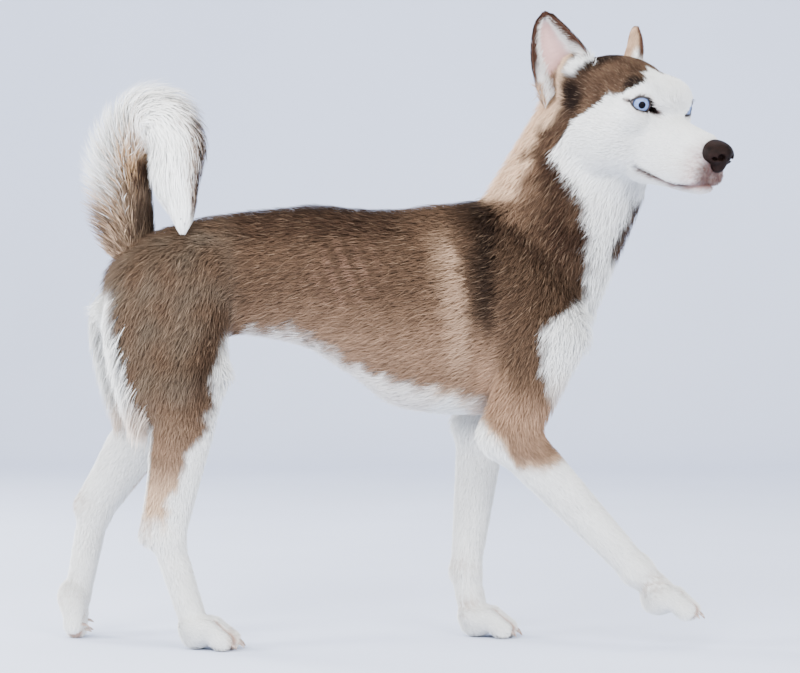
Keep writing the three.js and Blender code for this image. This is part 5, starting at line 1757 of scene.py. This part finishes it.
class HUSKY_OT_studio(bpy.types.Operator):
    """Lay the paper floor and wall, hang the lamps and place the camera"""
    bl_idname = "husky.studio"
    bl_label = "Studio"

    def execute(self, context):
        studio = context.scene.husky_studio
        scene = context.scene
        points, faces = [], []
        profile = [(-PAPER_HALF_WIDTH, 0.0), (PAPER_BEND, 0.0)]
        profile += [(PAPER_BEND + PAPER_RADIUS * math.sin(a), PAPER_RADIUS - PAPER_RADIUS * math.cos(a))
                    for a in np.linspace(0.12, math.pi / 2, 14)]
        profile += [(PAPER_BEND + PAPER_RADIUS, PAPER_TOP)]
        for y, z in profile:
            points += [(-PAPER_HALF_WIDTH, y, z), (PAPER_HALF_WIDTH, y, z)]
        for i in range(len(profile) - 1):
            faces.append((2 * i, 2 * i + 1, 2 * i + 3, 2 * i + 2))
        mesh = bpy.data.meshes.new("paper")
        mesh.from_pydata(points, [], faces)
        smooth(mesh)
        mesh.materials.append(paper_material(tuple(studio.paper)))
        paper = bpy.data.objects.new("paper", mesh)
        scene.collection.objects.link(paper)
        world = bpy.data.worlds.new("studio")
        world.use_nodes = True
        background = world.node_tree.nodes["Background"]
        background.inputs["Color"].default_value = SKY
        background.inputs["Strength"].default_value = SKY_STRENGTH
        scene.world = world
        for name, place, aim, size, power in LAMPS:
            lamp = bpy.data.lights.new(name, "SPOT" if name == SPOT_LAMP else "AREA")
            if name == SPOT_LAMP:
                lamp.spot_size = math.radians(SPOT_ANGLE)
                lamp.spot_blend = 1.0
                lamp.shadow_soft_size = size / 2
            else:
                lamp.shape = "DISK"
                lamp.size = size
            lamp.energy = power * studio.brightness
            thing = bpy.data.objects.new(name, lamp)
            thing.location = place
            thing.rotation_euler = (Vector(aim) - Vector(place)).to_track_quat("-Z", "Y").to_euler()
            scene.collection.objects.link(thing)
        lens = bpy.data.cameras.new("camera")
        lens.sensor_width = SENSOR_WIDTH
        lens.lens = SENSOR_WIDTH * FOCAL_LENGTH / PICTURE_WIDTH
        lens.clip_end = 50
        camera = bpy.data.objects.new("camera", lens)
        camera.location = row((0, -studio.distance * 1000, CAMERA_HEIGHT))
        camera.rotation_euler = (math.radians(90), 0, 0)
        scene.collection.objects.link(camera)
        scene.camera = camera
        return {"FINISHED"}


class HUSKY_PT_panel(bpy.types.Panel):
    """Sizes, colours and the pieces in the order they are built"""
    bl_label = "Husky"
    bl_idname = "HUSKY_PT_panel"
    bl_space_type = "VIEW_3D"
    bl_region_type = "UI"
    bl_category = "Husky"

    def draw(self, context):
        layout = self.layout
        for group in (context.scene.husky_coat, context.scene.husky_face, context.scene.husky_studio):
            box = layout.box()
            for name in group.bl_rna.properties.keys():
                if name not in ("name", "rna_type"):
                    box.prop(group, name)
        for operator in OPERATORS:
            layout.operator(operator.bl_idname)


OPERATORS = (HUSKY_OT_skin, HUSKY_OT_coat, HUSKY_OT_brush, HUSKY_OT_ears, HUSKY_OT_eyes, HUSKY_OT_nose,
             HUSKY_OT_whiskers, HUSKY_OT_claws, HUSKY_OT_studio)
SETTINGS = {"husky_coat": HuskyCoat, "husky_face": HuskyFace, "husky_studio": HuskyStudio}


def register():
    for item in (*SETTINGS.values(), *OPERATORS, HUSKY_PT_panel):
        bpy.utils.register_class(item)
    for name, group in SETTINGS.items():
        setattr(bpy.types.Scene, name, bpy.props.PointerProperty(type=group))


def unregister():
    for name in SETTINGS:
        delattr(bpy.types.Scene, name)
    for item in reversed((*SETTINGS.values(), *OPERATORS, HUSKY_PT_panel)):
        bpy.utils.unregister_class(item)


def main():
    register()
    bpy.ops.husky.skin()
    bpy.ops.husky.coat()
    bpy.ops.husky.brush()
    bpy.ops.husky.ears()
    bpy.ops.husky.eyes()
    bpy.ops.husky.nose()
    bpy.ops.husky.whiskers()
    bpy.ops.husky.claws()
    bpy.ops.husky.studio()


if __name__ == "__main__":
    main()
